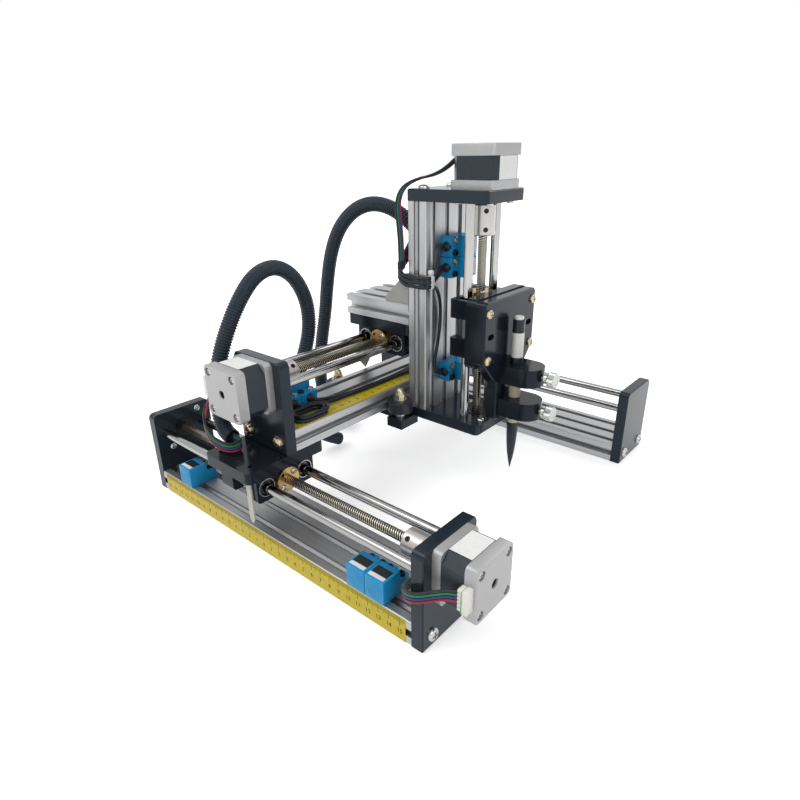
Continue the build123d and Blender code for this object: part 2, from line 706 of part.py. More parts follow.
# Corner bracket between arm and column: two legs and two side webs
bracket_corner = Plane(
    origin=(column_at - BAR_THICK / 2, CROSS_AT - BAR_WIDTH / 2, arm_rise + BAR_THICK),
    x_dir=(-1, 0, 0),
    z_dir=(0, 1, 0),
)
with BuildPart() as arm_bracket:
    with BuildSketch(bracket_corner):
        with BuildLine():
            Polyline(
                (0, 0),
                (BRACKET_LEG, 0),
                (BRACKET_LEG, BRACKET_TIP),
                (BRACKET_TIP, BRACKET_LEG),
                (0, BRACKET_LEG),
                close=True,
            )
        make_face()
    extrude(amount=BRACKET_WIDTH)
    with BuildSketch(bracket_corner.offset(BRACKET_WALL)):
        with BuildLine():
            Polyline(
                (BRACKET_WALL, BRACKET_WALL),
                (2 * BRACKET_LEG, BRACKET_WALL),
                (2 * BRACKET_LEG, 2 * BRACKET_LEG),
                (BRACKET_WALL, 2 * BRACKET_LEG),
                close=True,
            )
        make_face()
    extrude(amount=BRACKET_WIDTH - 2 * BRACKET_WALL, mode=Mode.SUBTRACT)
save(arm_bracket.part, "arm_bracket")

# Guide rollers beside the gantry bar, on a bar under it that is bolted to the column's foot plate
roller_side = BAR_WIDTH / 2 + ROLLER_GAP + ROLLER_RADIUS
bar_top = column_foot - ROLLER_BAR_DROP
foot_near = CROSS_AT - BAR_WIDTH / 2
column_face = column_at - BAR_THICK / 2
roller_places = [(GANTRY_AT - roller_side, ROLLER_PLACE), (GANTRY_AT + roller_side, ROLLER_PLACE)]
with BuildPart() as roller_bracket:
    with BuildSketch(Plane.XY.offset(bar_top - ROLLER_BAR_THICK)):
        left_end = GANTRY_AT - roller_side - ROLLER_LUG / 2
        with Locations((left_end, foot_near)):
            Rectangle(column_face - left_end, ROLLER_BAR_DEPTH, align=(Align.MIN, Align.CENTER))
        lug_depth = foot_near - ROLLER_CLEAR - ROLLER_PLACE + ROLLER_LUG / 2
        for place in roller_places:
            with Locations((place[0], ROLLER_PLACE - ROLLER_LUG / 2)):
                Rectangle(ROLLER_LUG, lug_depth, align=(Align.CENTER, Align.MIN))
    extrude(amount=ROLLER_BAR_THICK)
    with BuildSketch(Plane.XY.offset(bar_top)):
        with Locations(roller_places):
            Circle(ROLLER_BOLT_RADIUS)
    extrude(amount=-ROLLER_BAR_THICK, mode=Mode.SUBTRACT)
save(roller_bracket.part, "roller_bracket")

roller_under = column_foot + ROLLER_CLEAR
roller_top = roller_under + ROLLER_WIDTH
with BuildPart() as roller_bolts:
    with BuildSketch(Plane.XY.offset(bar_top - ROLLER_BAR_THICK)):
        with Locations(roller_places):
            Circle(ROLLER_BOLT_RADIUS)
    extrude(amount=roller_top + ROLLER_STUD - bar_top + ROLLER_BAR_THICK)
    with BuildSketch(Plane.XY.offset(bar_top)):
        with Locations(roller_places):
            Circle(ROLLER_SPACER_RADIUS)
    extrude(amount=roller_under - RUNNING_GAP - bar_top)
    with BuildSketch(Plane.XY.offset(roller_top + RUNNING_GAP)):
        with Locations(roller_places):
            Circle(ROLLER_WASHER_RADIUS)
    extrude(amount=ROLLER_WASHER)
    with BuildSketch(Plane.XY.offset(roller_top + RUNNING_GAP + ROLLER_WASHER)):
        with Locations(roller_places):
            RegularPolygon(ROLLER_SPACER_RADIUS, 6)
    extrude(amount=ROLLER_NUT_HEIGHT)
hardware["z"].append(roller_bolts.part)

for node, place in zip(("left_roller", "right_roller"), roller_places):
    with BuildPart() as roller:
        with BuildSketch(Plane.XY.offset(roller_under)):
            with Locations(place):
                Circle(ROLLER_RADIUS)
                Circle(ROLLER_BOLT_RADIUS + RUNNING_GAP, mode=Mode.SUBTRACT)
        extrude(amount=ROLLER_WIDTH)
        rims = roller.edges().filter_by(GeomType.CIRCLE).filter_by(lambda e: e.radius > ROLLER_SPACER_RADIUS)
        fillet(rims, ROLLER_CORNER)
    save(roller.part, node)

# Pen plate on the Z carriage, with two clamp lugs on its tongue
table_face = column_at + TABLE_RISE
plate_face = table_face + PEN_PLATE_THICK
neck_top = Z_CARRIAGE_AT + PEN_PLATE_TOP - PEN_PLATE_STRAIGHT - PEN_PLATE_TAPER
plate_top = Z_CARRIAGE_AT + PEN_PLATE_TOP
pen_x = plate_face + PEN_REACH
pen_sheet = Plane(origin=(table_face, CROSS_AT, 0), x_dir=(0, 1, 0), z_dir=(1, 0, 0))
lug_heights = [LUG_UPPER_AT, LUG_LOWER_AT]
pen_bolt_middle = plate_top - PEN_BOLT_DROP
with BuildPart() as pen_plate:
    with BuildSketch(pen_sheet) as outline:
        with BuildLine():
            Polyline(
                (-PEN_PLATE_WIDTH / 2, plate_top),
                (PEN_PLATE_WIDTH / 2, plate_top),
                (PEN_PLATE_WIDTH / 2, plate_top - PEN_PLATE_STRAIGHT),
                (PEN_TONGUE_WIDTH / 2 + PEN_NECK, neck_top),
                (PEN_TONGUE_WIDTH / 2, neck_top - PEN_NECK),
                (PEN_TONGUE_WIDTH / 2, plate_top - PEN_PLATE_DROP),
                (-PEN_TONGUE_WIDTH / 2, plate_top - PEN_PLATE_DROP),
                (-PEN_TONGUE_WIDTH / 2, neck_top - PEN_NECK),
                (-PEN_TONGUE_WIDTH / 2 - PEN_NECK, neck_top),
                (-PEN_PLATE_WIDTH / 2, plate_top - PEN_PLATE_STRAIGHT),
                close=True,
            )
        make_face()
        fillet(outline.vertices(), PEN_PLATE_CORNER)
        with Locations((0, pen_bolt_middle)):
            with GridLocations(PEN_BOLT_SPACING_ACROSS, PEN_BOLT_SPACING_UP, 2, 2):
                Circle(TABLE_HOLE_RADIUS, mode=Mode.SUBTRACT)
            with GridLocations(PEN_SLOT_SPACING, 0, 2, 1):
                SlotOverall(PEN_SLOT_LENGTH, PEN_SLOT_WIDTH, mode=Mode.SUBTRACT)
    extrude(amount=PEN_PLATE_THICK)
    chamfer(pen_plate.faces().sort_by(Axis.X)[-1].outer_wire().edges(), PEN_PLATE_CHAMFER)
    for height in lug_heights:
        with BuildSketch(Plane.XY.offset(height - LUG_HEIGHT / 2)):
            with Locations((plate_face, CROSS_AT)):
                SlotOverall(2 * LUG_REACH, LUG_WIDTH)
                with Locations((-LUG_REACH / 2, 0)):
                    Rectangle(LUG_REACH, LUG_WIDTH, mode=Mode.SUBTRACT)
            with Locations((pen_x, CROSS_AT)):
                Circle(PEN_RADIUS + PEN_HOLE_GAP, mode=Mode.SUBTRACT)
        extrude(amount=LUG_HEIGHT)
        with BuildSketch(Plane(origin=(pen_x, CROSS_AT, height), x_dir=(0, 1, 0), z_dir=(1, 0, 0))):
            Circle(THUMB_SCREW_RADIUS + RUNNING_GAP)
        extrude(amount=LUG_REACH, mode=Mode.SUBTRACT)
save(pen_plate.part, "pen_plate")

with BuildPart() as pen_plate_screws:
    with BuildSketch(pen_sheet.offset(PEN_PLATE_THICK)):
        with Locations((0, pen_bolt_middle)):
            with GridLocations(PEN_BOLT_SPACING_ACROSS, PEN_BOLT_SPACING_UP, 2, 2):
                Circle(PEN_SCREW_HEAD)
    extrude(amount=PEN_SCREW_HEAD_HEIGHT)
    fillet(pen_plate_screws.faces().sort_by(Axis.X)[-4:].edges(), PEN_SCREW_HEAD_ROUND)
    with BuildSketch(pen_sheet.offset(PEN_PLATE_THICK)):
        with Locations((0, pen_bolt_middle)):
            with GridLocations(PEN_BOLT_SPACING_ACROSS, PEN_BOLT_SPACING_UP, 2, 2):
                Circle(TABLE_HOLE_RADIUS)
    extrude(amount=-PEN_PLATE_THICK)
save(pen_plate_screws.part, "pen_plate_screws")

# Pen: barrel with a cone and nib below, cap above
cap_under = PEN_TOP_AT - PEN_CAP_LENGTH
with BuildPart() as barrel:
    with BuildSketch(Plane(origin=(pen_x, CROSS_AT, 0), x_dir=(1, 0, 0), z_dir=(0, -1, 0))):
        with BuildLine():
            Polyline(
                (0, PEN_TIP_AT),
                *[(radius, PEN_TIP_AT + rise) for radius, rise in PEN_PROFILE],
                (PEN_RADIUS, PEN_TIP_AT + PEN_CONE),
                (PEN_RADIUS, cap_under),
                (0, cap_under),
                close=True,
            )
        make_face()
    revolve(axis=Axis((pen_x, CROSS_AT, 0), (0, 0, 1)))
with BuildPart() as pen_end:
    with BuildSketch(Plane.XY.offset(cap_under)):
        with Locations((pen_x, CROSS_AT)):
            Circle(PEN_RADIUS - PEN_CAP_STEP)
    extrude(amount=PEN_CAP_LENGTH)
    chamfer(pen_end.faces().sort_by(Axis.Z)[-1].edges(), PEN_CAP_CHAMFER)
save(Compound(children=[barrel.part, pen_end.part]), "pen")

# Thumb screws: knurled heads outside the lugs, points against the pen
for node, height in zip(("upper_thumb_screw", "lower_thumb_screw"), lug_heights):
    point = pen_x + PEN_RADIUS + THUMB_POINT_GAP
    head = plate_face + LUG_REACH + THUMB_STANDOFF
    with BuildPart() as thumb:
        with BuildSketch(Plane(origin=(point, CROSS_AT, height), x_dir=(0, 1, 0), z_dir=(1, 0, 0))):
            Circle(THUMB_SCREW_RADIUS)
        extrude(amount=head - point)
        with BuildSketch(Plane(origin=(head, CROSS_AT, height), x_dir=(0, 1, 0), z_dir=(1, 0, 0))):
            Circle(THUMB_HEAD_RADIUS)
        extrude(amount=THUMB_HEAD_LENGTH)
        rims = thumb.edges().filter_by(GeomType.CIRCLE).filter_by(lambda e: e.radius > THUMB_SCREW_RADIUS)
        chamfer(rims, THUMB_CHAMFER)
    save(thumb.part, node)


# Cords: straight runs joined by arcs, each arc as large as its two runs allow


def cord(node_name, points, radius, shape):
    radii = []
    vectors = [Vector(*point) for point in points]
    for before, corner, after in zip(vectors, vectors[1:], vectors[2:]):
        shorter = min((corner - before).length, (after - corner).length)
        turn = (corner - before).get_angle(after - corner)
        radii.append(0.45 * shorter / tan(radians(turn) / 2))
    with BuildPart() as tube:
        with BuildLine() as path:
            FilletPolyline(*points, radius=radii)
        with BuildSketch(Plane(origin=points[0], z_dir=vectors[1] - vectors[0])):
            shape(radius)
        sweep()
    ratio = tube.part.volume / (path.wire().length * pi * radius**2)
    print(node_name, "radii", [round(r, 1) for r in radii], "volume ratio", round(ratio, 3))
    return tube.part


# The first hose rises beside the gantry motor, the second leaves the column's back; both go down
# behind the gantry bar, clear of the roller bracket, and lie on the table there
hose_front_route = [
    (-48, -16, 87.3),
    (-59, -15.5, 88.3),
    (-67, -14, 101),
    (-68, -12, 123),
    (-67, -9, 146),
    (-68, 3, 171),
    (-70, 22, 197),
    (-73, 43, 214),
    (-77, 68, 217),
    (-79, 90, 204),
    (-79, 103, 179),
    (-78, 103, 152),
    (-81, 97, 127),
    (-90, 93, 103),
    (-96, 94, 76),
    (-96, 102, 48),
    (-94, 120, 23),
    (-93, 147, 8),
]
hose_rear_route = [
    (13.9, 174, 241),
    (2, 174, 241),
    (-10, 171, 252),
    (-26, 167, 262),
    (-46, 163, 265),
    (-67, 160, 258),
    (-86, 157, 240),
    (-99, 156, 214),
    (-108, 157, 183),
    (-114, 157, 150),
    (-117, 151, 117),
    (-119, 147, 84),
    (-119, 151, 52),
    (-119, 167, 24),
    (-118, 195, 8),
]
save(cord("hose_front", hose_front_route, HOSE_RADIUS, Circle), "hose_front")
save(cord("hose_rear", hose_rear_route, HOSE_RADIUS, Circle), "hose_rear")

# Motor leads: four wires side by side, from the socket's face towards the plate
x_lead_route = [
    (193.7, -24.7, 58),
    (187, -25.5, 57),
    (178, -30, 53.5),
    (168, -35.5, 49.5),
    (157, -34, 45.5),
    (149, -26, 41.5),
    (147, -14, 37),
]
y_lead_route = [
    (-51, -28, 128.9),
    (-54.5, -33, 119),
    (-55, -37, 107),
    (-50, -36, 95),
    (-41, -33, 88),
    (-33, -28, 86.5),
    (-31, -20, 87),
    (-37, -15.5, 87),
    (-46.8, -16, 87.3),
]
z_lead_route = [
    (47.4, 168, 303),
    (42, 163, 296),
    (32, 156, 290),
    (20, 149, 287.5),
    (9, 143.5, 281),
    (5, 141, 268),
    (7, 141, 252),
    (8.5, 141.5, 234),
    (9, 141, 211.5),
]


def flat_leads(node_name, points, step, first_step):
    """Four wires side by side, each the same route moved by one step."""
    wires = []
    for number in range(WIRES_IN_LEAD):
        shift = number - (WIRES_IN_LEAD - 1) / 2
        moved = []
        for place, (x, y, z) in enumerate(points):
            move = first_step if place == 0 else step
            moved.append((x + shift * move[0], y + shift * move[1], z + shift * move[2]))
        wires.append(cord(f"{node_name} {number}", moved, LEAD_RADIUS, Circle))
    return wires


stacked = (0, 0, -LEAD_PITCH)
abreast = (0, -0.8 * LEAD_PITCH, 0)
save(Compound(children=flat_leads("x motor lead", x_lead_route, stacked, stacked)), "x_motor_leads")
save(Compound(children=flat_leads("y motor lead", y_lead_route, stacked, abreast)), "y_motor_leads")

# The Z sensors' cables leave their tails, turn round the column's edge side by side and rise to
# the rear hose; a tie holds them at the edge
z_sensor_cable_routes = [
    [
        (39.7, 165.7, 231.5),
        (39.6, 160, 230.8),
        (39.5, 156, 225.8),
        (39.4, 154.5, 218.5),
        (39.4, 152.5, 212.5),
        (39.6, 148.3, 207.3),
        (37.3, 142, 206.5),
        (31.8, 138.9, 206.5),
        (23, 139.6, 206.5),
        (13.5, 140.3, 206.5),
        (6.5, 141.3, 210.3),
        (1.5, 146, 214),
        (0.5, 152.5, 220.5),
        (1.5, 159.5, 230),
        (4, 165.1, 240),
    ],
    [
        (39.7, 165.7, 213),
        (39.6, 160, 211.8),
        (39.5, 154.5, 206.6),
        (39.6, 148.3, 203.2),
        (37.3, 142, 202.6),
        (31.8, 138.9, 202.6),
        (23, 139.6, 202.6),
        (13.5, 140.3, 202.6),
        (6.5, 141.3, 206.4),
        (1.5, 146, 210),
        (0.5, 153.3, 216.5),
        (1.5, 160.8, 225.5),
        (4, 167.7, 234.7),
    ],
    [
        (39.7, 165.7, 114.4),
        (39.3, 159, 114.6),
        (38.2, 153.5, 119.5),
        (37, 153.8, 128),
        (36.4, 158.5, 140),
        (36.2, 161.5, 152),
        (36.2, 163.3, 166),
        (36.4, 163.2, 178),
        (37, 160, 189),
        (38.2, 155, 196.2),
        (39.6, 148.3, 199.2),
        (37.3, 142, 198.7),
        (31.8, 138.9, 198.7),
        (23, 139.6, 198.7),
        (13.5, 140.3, 198.7),
        (6.5, 141.3, 202.5),
        (1.5, 146, 206),
        (0.5, 154.2, 212.5),
        (1.5, 163, 221.5),
        (4, 173, 232.1),
    ],
]
z_cables = flat_leads("z motor lead", z_lead_route, abreast, abreast)
for number, route in enumerate(z_sensor_cable_routes):
    z_cables.append(cord(f"z sensor cable {number}", route, SENSOR_CABLE_RADIUS, Circle))
save(Compound(children=z_cables), "z_cables")

# The Y sensors' cables lie coiled on the gantry bar behind them
with BuildPart() as y_sensor_coil:
    with BuildSketch(Plane.XY.offset(gantry_middle + BAR_THICK / 2 + TAPE_THICK)):
        with Locations((GANTRY_AT + COIL_OFFSET, COIL_AT)):
            SlotOverall(COIL_LENGTH, COIL_WIDTH, rotation=90)
            SlotOverall(COIL_HOLE_LENGTH, COIL_HOLE_WIDTH, rotation=90, mode=Mode.SUBTRACT)
    extrude(amount=COIL_HEIGHT)
save(y_sensor_coil.part, "y_sensor_coil")

# Fasteners and bearings, one node for each body
save(Compound(children=hardware["x"] + rear_bolts), "base_hardware")
save(Compound(children=hardware["y"]), "gantry_hardware")
save(Compound(children=hardware["z"]), "column_hardware")
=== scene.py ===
import json
import math
import bpy
from mathutils import Matrix, Vector
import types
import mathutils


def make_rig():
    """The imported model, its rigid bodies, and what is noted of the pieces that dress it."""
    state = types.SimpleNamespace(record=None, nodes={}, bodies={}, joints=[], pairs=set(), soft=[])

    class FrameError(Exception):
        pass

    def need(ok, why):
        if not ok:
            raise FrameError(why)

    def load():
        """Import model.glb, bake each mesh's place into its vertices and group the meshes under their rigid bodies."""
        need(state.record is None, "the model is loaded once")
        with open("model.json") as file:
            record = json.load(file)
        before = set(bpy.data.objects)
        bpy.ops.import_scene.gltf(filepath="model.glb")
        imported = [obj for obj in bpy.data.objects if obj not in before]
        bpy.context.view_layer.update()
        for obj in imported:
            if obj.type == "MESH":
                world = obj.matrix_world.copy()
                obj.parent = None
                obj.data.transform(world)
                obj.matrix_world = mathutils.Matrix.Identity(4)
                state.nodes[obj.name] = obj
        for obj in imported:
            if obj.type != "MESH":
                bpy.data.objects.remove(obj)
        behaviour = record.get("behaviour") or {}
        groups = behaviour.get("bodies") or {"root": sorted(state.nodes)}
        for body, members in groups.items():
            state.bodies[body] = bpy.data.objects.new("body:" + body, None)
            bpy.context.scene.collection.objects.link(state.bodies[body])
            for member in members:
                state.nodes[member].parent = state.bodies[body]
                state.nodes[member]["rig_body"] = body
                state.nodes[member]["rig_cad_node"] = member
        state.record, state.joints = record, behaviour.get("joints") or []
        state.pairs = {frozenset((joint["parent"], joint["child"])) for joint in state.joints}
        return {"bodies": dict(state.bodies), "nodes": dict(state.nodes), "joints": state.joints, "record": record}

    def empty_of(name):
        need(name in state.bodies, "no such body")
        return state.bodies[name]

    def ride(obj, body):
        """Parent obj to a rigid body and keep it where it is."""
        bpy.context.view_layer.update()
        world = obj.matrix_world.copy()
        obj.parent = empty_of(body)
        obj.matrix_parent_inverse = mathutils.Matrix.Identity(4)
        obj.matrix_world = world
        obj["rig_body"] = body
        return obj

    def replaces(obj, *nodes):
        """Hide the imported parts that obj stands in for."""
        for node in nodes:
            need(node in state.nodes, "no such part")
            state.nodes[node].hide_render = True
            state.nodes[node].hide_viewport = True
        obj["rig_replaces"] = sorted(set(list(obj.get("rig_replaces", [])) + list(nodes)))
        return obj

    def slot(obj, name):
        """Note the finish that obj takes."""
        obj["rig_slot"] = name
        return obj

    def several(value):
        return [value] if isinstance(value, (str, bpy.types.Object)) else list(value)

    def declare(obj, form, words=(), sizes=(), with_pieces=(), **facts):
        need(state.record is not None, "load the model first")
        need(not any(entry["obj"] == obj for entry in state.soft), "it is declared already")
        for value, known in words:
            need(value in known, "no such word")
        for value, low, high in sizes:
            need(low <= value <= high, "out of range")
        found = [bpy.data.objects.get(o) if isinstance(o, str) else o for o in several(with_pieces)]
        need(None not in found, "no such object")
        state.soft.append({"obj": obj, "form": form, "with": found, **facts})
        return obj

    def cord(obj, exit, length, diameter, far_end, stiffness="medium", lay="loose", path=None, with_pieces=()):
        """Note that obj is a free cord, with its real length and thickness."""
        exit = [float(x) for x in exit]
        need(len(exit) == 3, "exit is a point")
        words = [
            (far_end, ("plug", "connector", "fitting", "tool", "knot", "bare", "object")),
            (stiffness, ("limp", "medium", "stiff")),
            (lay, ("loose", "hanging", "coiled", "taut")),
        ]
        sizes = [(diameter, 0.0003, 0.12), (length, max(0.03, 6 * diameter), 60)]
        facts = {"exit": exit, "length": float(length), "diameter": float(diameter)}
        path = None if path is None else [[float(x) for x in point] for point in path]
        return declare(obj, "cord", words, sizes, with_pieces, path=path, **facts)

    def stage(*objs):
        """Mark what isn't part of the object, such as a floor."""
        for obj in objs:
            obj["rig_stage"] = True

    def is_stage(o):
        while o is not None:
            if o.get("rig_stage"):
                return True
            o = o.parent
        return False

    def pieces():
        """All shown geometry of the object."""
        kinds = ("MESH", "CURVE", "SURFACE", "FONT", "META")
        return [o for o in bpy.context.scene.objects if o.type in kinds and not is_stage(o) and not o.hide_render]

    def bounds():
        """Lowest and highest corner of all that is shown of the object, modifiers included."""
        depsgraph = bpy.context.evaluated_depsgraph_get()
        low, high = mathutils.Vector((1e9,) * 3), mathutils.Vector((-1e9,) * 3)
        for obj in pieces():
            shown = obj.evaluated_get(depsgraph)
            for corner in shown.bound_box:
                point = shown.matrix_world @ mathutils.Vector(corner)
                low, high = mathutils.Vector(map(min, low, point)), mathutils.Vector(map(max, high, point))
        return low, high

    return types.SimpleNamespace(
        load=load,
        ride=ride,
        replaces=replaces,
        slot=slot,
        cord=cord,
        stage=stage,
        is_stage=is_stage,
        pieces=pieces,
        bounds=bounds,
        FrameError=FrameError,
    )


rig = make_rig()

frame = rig.load()
cad_low, cad_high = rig.bounds()
nodes = frame["nodes"]
bpy.ops.object.select_all(action="DESELECT")

# Camera and room. The camera stands in front and to the right of the stage, a little above it,
# where the photograph was taken. Floor and backdrop are plain white, lit by three soft lamps.
bpy.ops.object.camera_add(location=(0.35241, -0.259741, 0.309273))
camera = bpy.context.object
camera.rotation_euler = [math.radians(angle) for angle in (66.675068, 0.885685, 40.798706)]
camera.data.lens = 26.32864
camera.data.sensor_width = 36
camera.data.shift_x = 0.002774
camera.data.shift_y = 0.003973
camera.data.clip_start = 0.01
bpy.context.scene.camera = camera
bpy.context.scene.view_settings.view_transform = "Standard"


def lamp(place, target, size, power):
    """A square soft lamp at place that shines towards target."""
    bpy.ops.object.light_add(type="AREA", location=place)
    light = bpy.context.object
    light.data.size = size
    light.data.energy = power
    light.rotation_euler = (Vector(target) - Vector(place)).to_track_quat("-Z", "Y").to_euler()


lamp((-0.5, -0.7, 1.5), (0, 0.15, 0.1), size=1.0, power=10.5)
lamp((1.1, -0.4, 0.9), (0, 0.15, 0.15), size=0.7, power=4)
lamp((0.3, 1.5, 1.3), (0, 0.2, 0.1), size=0.9, power=5)


def set_inputs(node, values):
    """Sets a shader node's inputs, by name, to plain values."""
    for name, value in values.items():
        node.inputs[name].default_value = value


def link_up(tree, *pairs):
    """Links outputs of shader nodes to inputs, pair by pair."""
    for out, into in pairs:
        tree.links.new(out, into)


def background_rays(tree):
    """1 for the rays that show the background: seen directly, in a gloss, or through glass."""
    path = tree.nodes.new("ShaderNodeLightPath")
    seen = path.outputs["Is Camera Ray"]
    for kind in ("Is Glossy Ray", "Is Transmission Ray"):
        both = tree.nodes.new("ShaderNodeMath")
        both.operation = "ADD"
        both.use_clamp = True
        link_up(tree, (seen, both.inputs[0]), (path.outputs[kind], both.inputs[1]))
        seen = both.outputs[0]
    return seen


room_white = bpy.data.materials.new("room white")
room_white.use_nodes = True
room = room_white.node_tree
surface = room.nodes["Principled BSDF"]
set_inputs(surface, {
    "Base Color": (0.93, 0.93, 0.93, 1), "Roughness": 0.9, "Emission Color": (1, 1, 1, 1),
})
floor_place = room.nodes.new("ShaderNodeTexCoord")
distance = room.nodes.new("ShaderNodeVectorMath")
distance.operation = "LENGTH"
fade = room.nodes.new("ShaderNodeMapRange")
set_inputs(fade, {"From Min": 0.35, "From Max": 1.1, "To Min": 0.4, "To Max": 1.0})
lift = room.nodes.new("ShaderNodeMath")
lift.operation = "MULTIPLY"
link_up(
    room, (floor_place.outputs["Object"], distance.inputs[0]),
    (distance.outputs["Value"], fade.inputs["Value"]), (fade.outputs["Result"], lift.inputs[0]),
    (background_rays(room), lift.inputs[1]), (lift.outputs[0], surface.inputs["Emission Strength"])
)
floor_drop = 0.0003
bpy.ops.mesh.primitive_plane_add(size=12, location=(0, 0, -floor_drop))
floor = bpy.context.object
floor.name = "floor"
floor.data.materials.append(room_white)
bpy.ops.object.transform_apply(location=True)
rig.stage(floor)

world = bpy.data.worlds.new("room")
bpy.context.scene.world = world
world.use_nodes = True
sky = world.node_tree
backdrop = sky.nodes["Background"]
set_inputs(backdrop, {"Color": (1, 1, 1, 1)})
heading = sky.nodes.new("ShaderNodeTexCoord")
upward = sky.nodes.new("ShaderNodeSeparateXYZ")
overhead = sky.nodes.new("ShaderNodeMapRange")
set_inputs(overhead, {"From Min": 0.0, "From Max": 0.75, "To Min": 0.18, "To Max": 0.75})
shown = sky.nodes.new("ShaderNodeMix")
share_seen, as_light, as_background = shown.inputs[0], shown.inputs[2], shown.inputs[3]
as_background.default_value = 1.0
link_up(
    sky, (heading.outputs["Generated"], upward.inputs[0]),
    (upward.outputs["Z"], overhead.inputs["Value"]), (overhead.outputs["Result"], as_light),
    (background_rays(sky), share_seen), (shown.outputs[0], backdrop.inputs["Strength"])
)


# Slotted bars. Natural anodised aluminium, extruded, so fine die lines run along each bar and
# its faces are satin. Two floor rails, the gantry bar, the arm and the column are cut from it.
def finish(
    name, dark, light, rough, grain,
    metal=0.0, stretch=(1, 1, 1), bump=0.03, rough_spread=0.1, gloss=0.5, tint=(1, 1, 1, 1)
):
    """A material whose colour, roughness and relief follow one fine noise pattern."""
    made = bpy.data.materials.new(name)
    made.use_nodes = True
    tree = made.node_tree
    shader = tree.nodes["Principled BSDF"]
    set_inputs(shader, {"Metallic": metal, "Specular IOR Level": gloss, "Specular Tint": tint})
    place = tree.nodes.new("ShaderNodeTexCoord")
    mapping = tree.nodes.new("ShaderNodeMapping")
    set_inputs(mapping, {"Scale": stretch})
    noise = tree.nodes.new("ShaderNodeTexNoise")
    set_inputs(noise, {"Scale": grain, "Detail": 5})
    colour = tree.nodes.new("ShaderNodeValToRGB")
    for end, position, shade in ((0, 0.3, dark), (1, 0.7, light)):
        colour.color_ramp.elements[end].position = position
        colour.color_ramp.elements[end].color = (*shade, 1)
    roughness = tree.nodes.new("ShaderNodeMapRange")
    spread = rough_spread / 2
    set_inputs(roughness, {"To Min": rough - spread, "To Max": rough + spread})
    relief = tree.nodes.new("ShaderNodeBump")
    set_inputs(relief, {"Strength": bump, "Distance": 0.0005})
    pattern = noise.outputs["Fac"]
    link_up(
        tree, (place.outputs["Object"], mapping.inputs["Vector"]),
        (mapping.outputs["Vector"], noise.inputs["Vector"]), (pattern, colour.inputs["Fac"]),
        (pattern, roughness.inputs["Value"]), (pattern, relief.inputs["Height"]),
        (colour.outputs["Color"], shader.inputs["Base Color"]),
        (roughness.outputs["Result"], shader.inputs["Roughness"]),
        (relief.outputs["Normal"], shader.inputs["Normal"])
    )
    return made


def dress(made, *names):
    """Gives CAD nodes their finish."""
    for name in names:
        node = nodes[name]
        if not node.material_slots:
            node.data.materials.append(made)
        for held in node.material_slots:
            held.material = made


for axis, grain_run, lengths in (
    ("x", (0.01, 1, 1), ("front_profile", "rear_profile", "arm_profile")),
    ("y", (1, 0.01, 1), ("y_profile",)),
    ("z", (1, 1, 0.01), ("z_profile",)),
):
    bar_metal = finish(
        "bar along " + axis, (0.38, 0.385, 0.395), (0.5, 0.505, 0.515), 0.38, 900,
        metal=0.85, stretch=grain_run, bump=0.05
    )
    dress(bar_metal, *lengths)

# End plates, foot and top plates. Moulded in black plastic with eased outer edges, glossy enough
# to mirror the room softly. Each is bolted to a bar's end by two screws in its bores.
cool_sheen = (0.78, 0.88, 1.0, 1)
plate_black = finish(
    "plate black", (0.012, 0.018, 0.026), (0.018, 0.025, 0.034), 0.17, 2500,
    bump=0.02, gloss=0.25, tint=cool_sheen
)
dress(plate_black, "x_motor_plate", "x_idler_plate", "rear_left_plate", "rear_right_plate")
dress(plate_black, "y_motor_plate", "y_idler_plate", "z_motor_plate", "z_idler_plate")

# Plate screws. Pan heads with a cross recess, turned and plated steel; the gantry's are brass
# plated. Two hold each plate to its bar, and smaller ones are used all over the stage.
bars = {
    "x": ((0, 0, 0.01), (1, 0, 0), (0, 0, 1)),
    "rear": ((0, 0.334, 0.01), (1, 0, 0), (0, 0, 1)),
    "y": ((-0.026, 0.17, 0.09), (0, -1, 0), (0, 0, 1)),
    "z": ((0.024, 0.174, 0.175), (0, 0, 1), (1, 0, 0)),
}
half = {"x": 0.16, "rear": 0.16, "y": 0.16, "z": 0.095}
plate_thick = 0.01
bolt_side = 0.02
washer_thick = 0.0008
same_point = 0.00001
ends = ((1, "out"), (-1, "in"))


def seat(bar, along, side, rise, facing):
    """Where a piece made on its own Z stands on a bar, and which way it faces."""
    origin, travel, away = (Vector(part) for part in bars[bar])
    across = away.cross(travel)
    turns = {
        "out": (across, away, travel), "in": (across, -away, -travel),
        "up": (travel, across, away), "side": (away, travel, across),
    }
    stood = Matrix(turns[facing]).transposed().to_4x4()
    stood.translation = origin + along * travel + side * across + rise * away
    return stood


def at(*place):
    """A plain shift to a place."""
    return Matrix.Translation(place)


def mode(name):
    """Goes into EDIT or OBJECT mode."""
    bpy.ops.object.mode_set(mode=name)


def close_up():
    """In edit mode, merges points that meet, turns all faces outwards and ends the edit."""
    bpy.ops.mesh.select_all(action="SELECT")
    bpy.ops.mesh.remove_doubles(threshold=same_point)
    bpy.ops.mesh.normals_make_consistent(inside=False)
    mode("OBJECT")


def point_at(place):
    """A mesh of one selected point, in edit mode, to be extruded."""
    bpy.ops.mesh.primitive_plane_add(size=0.001)
    mode("EDIT")
    bpy.ops.mesh.select_all(action="SELECT")
    bpy.ops.mesh.merge(type="CENTER")
    bpy.ops.transform.translate(value=place)
    return bpy.context.object


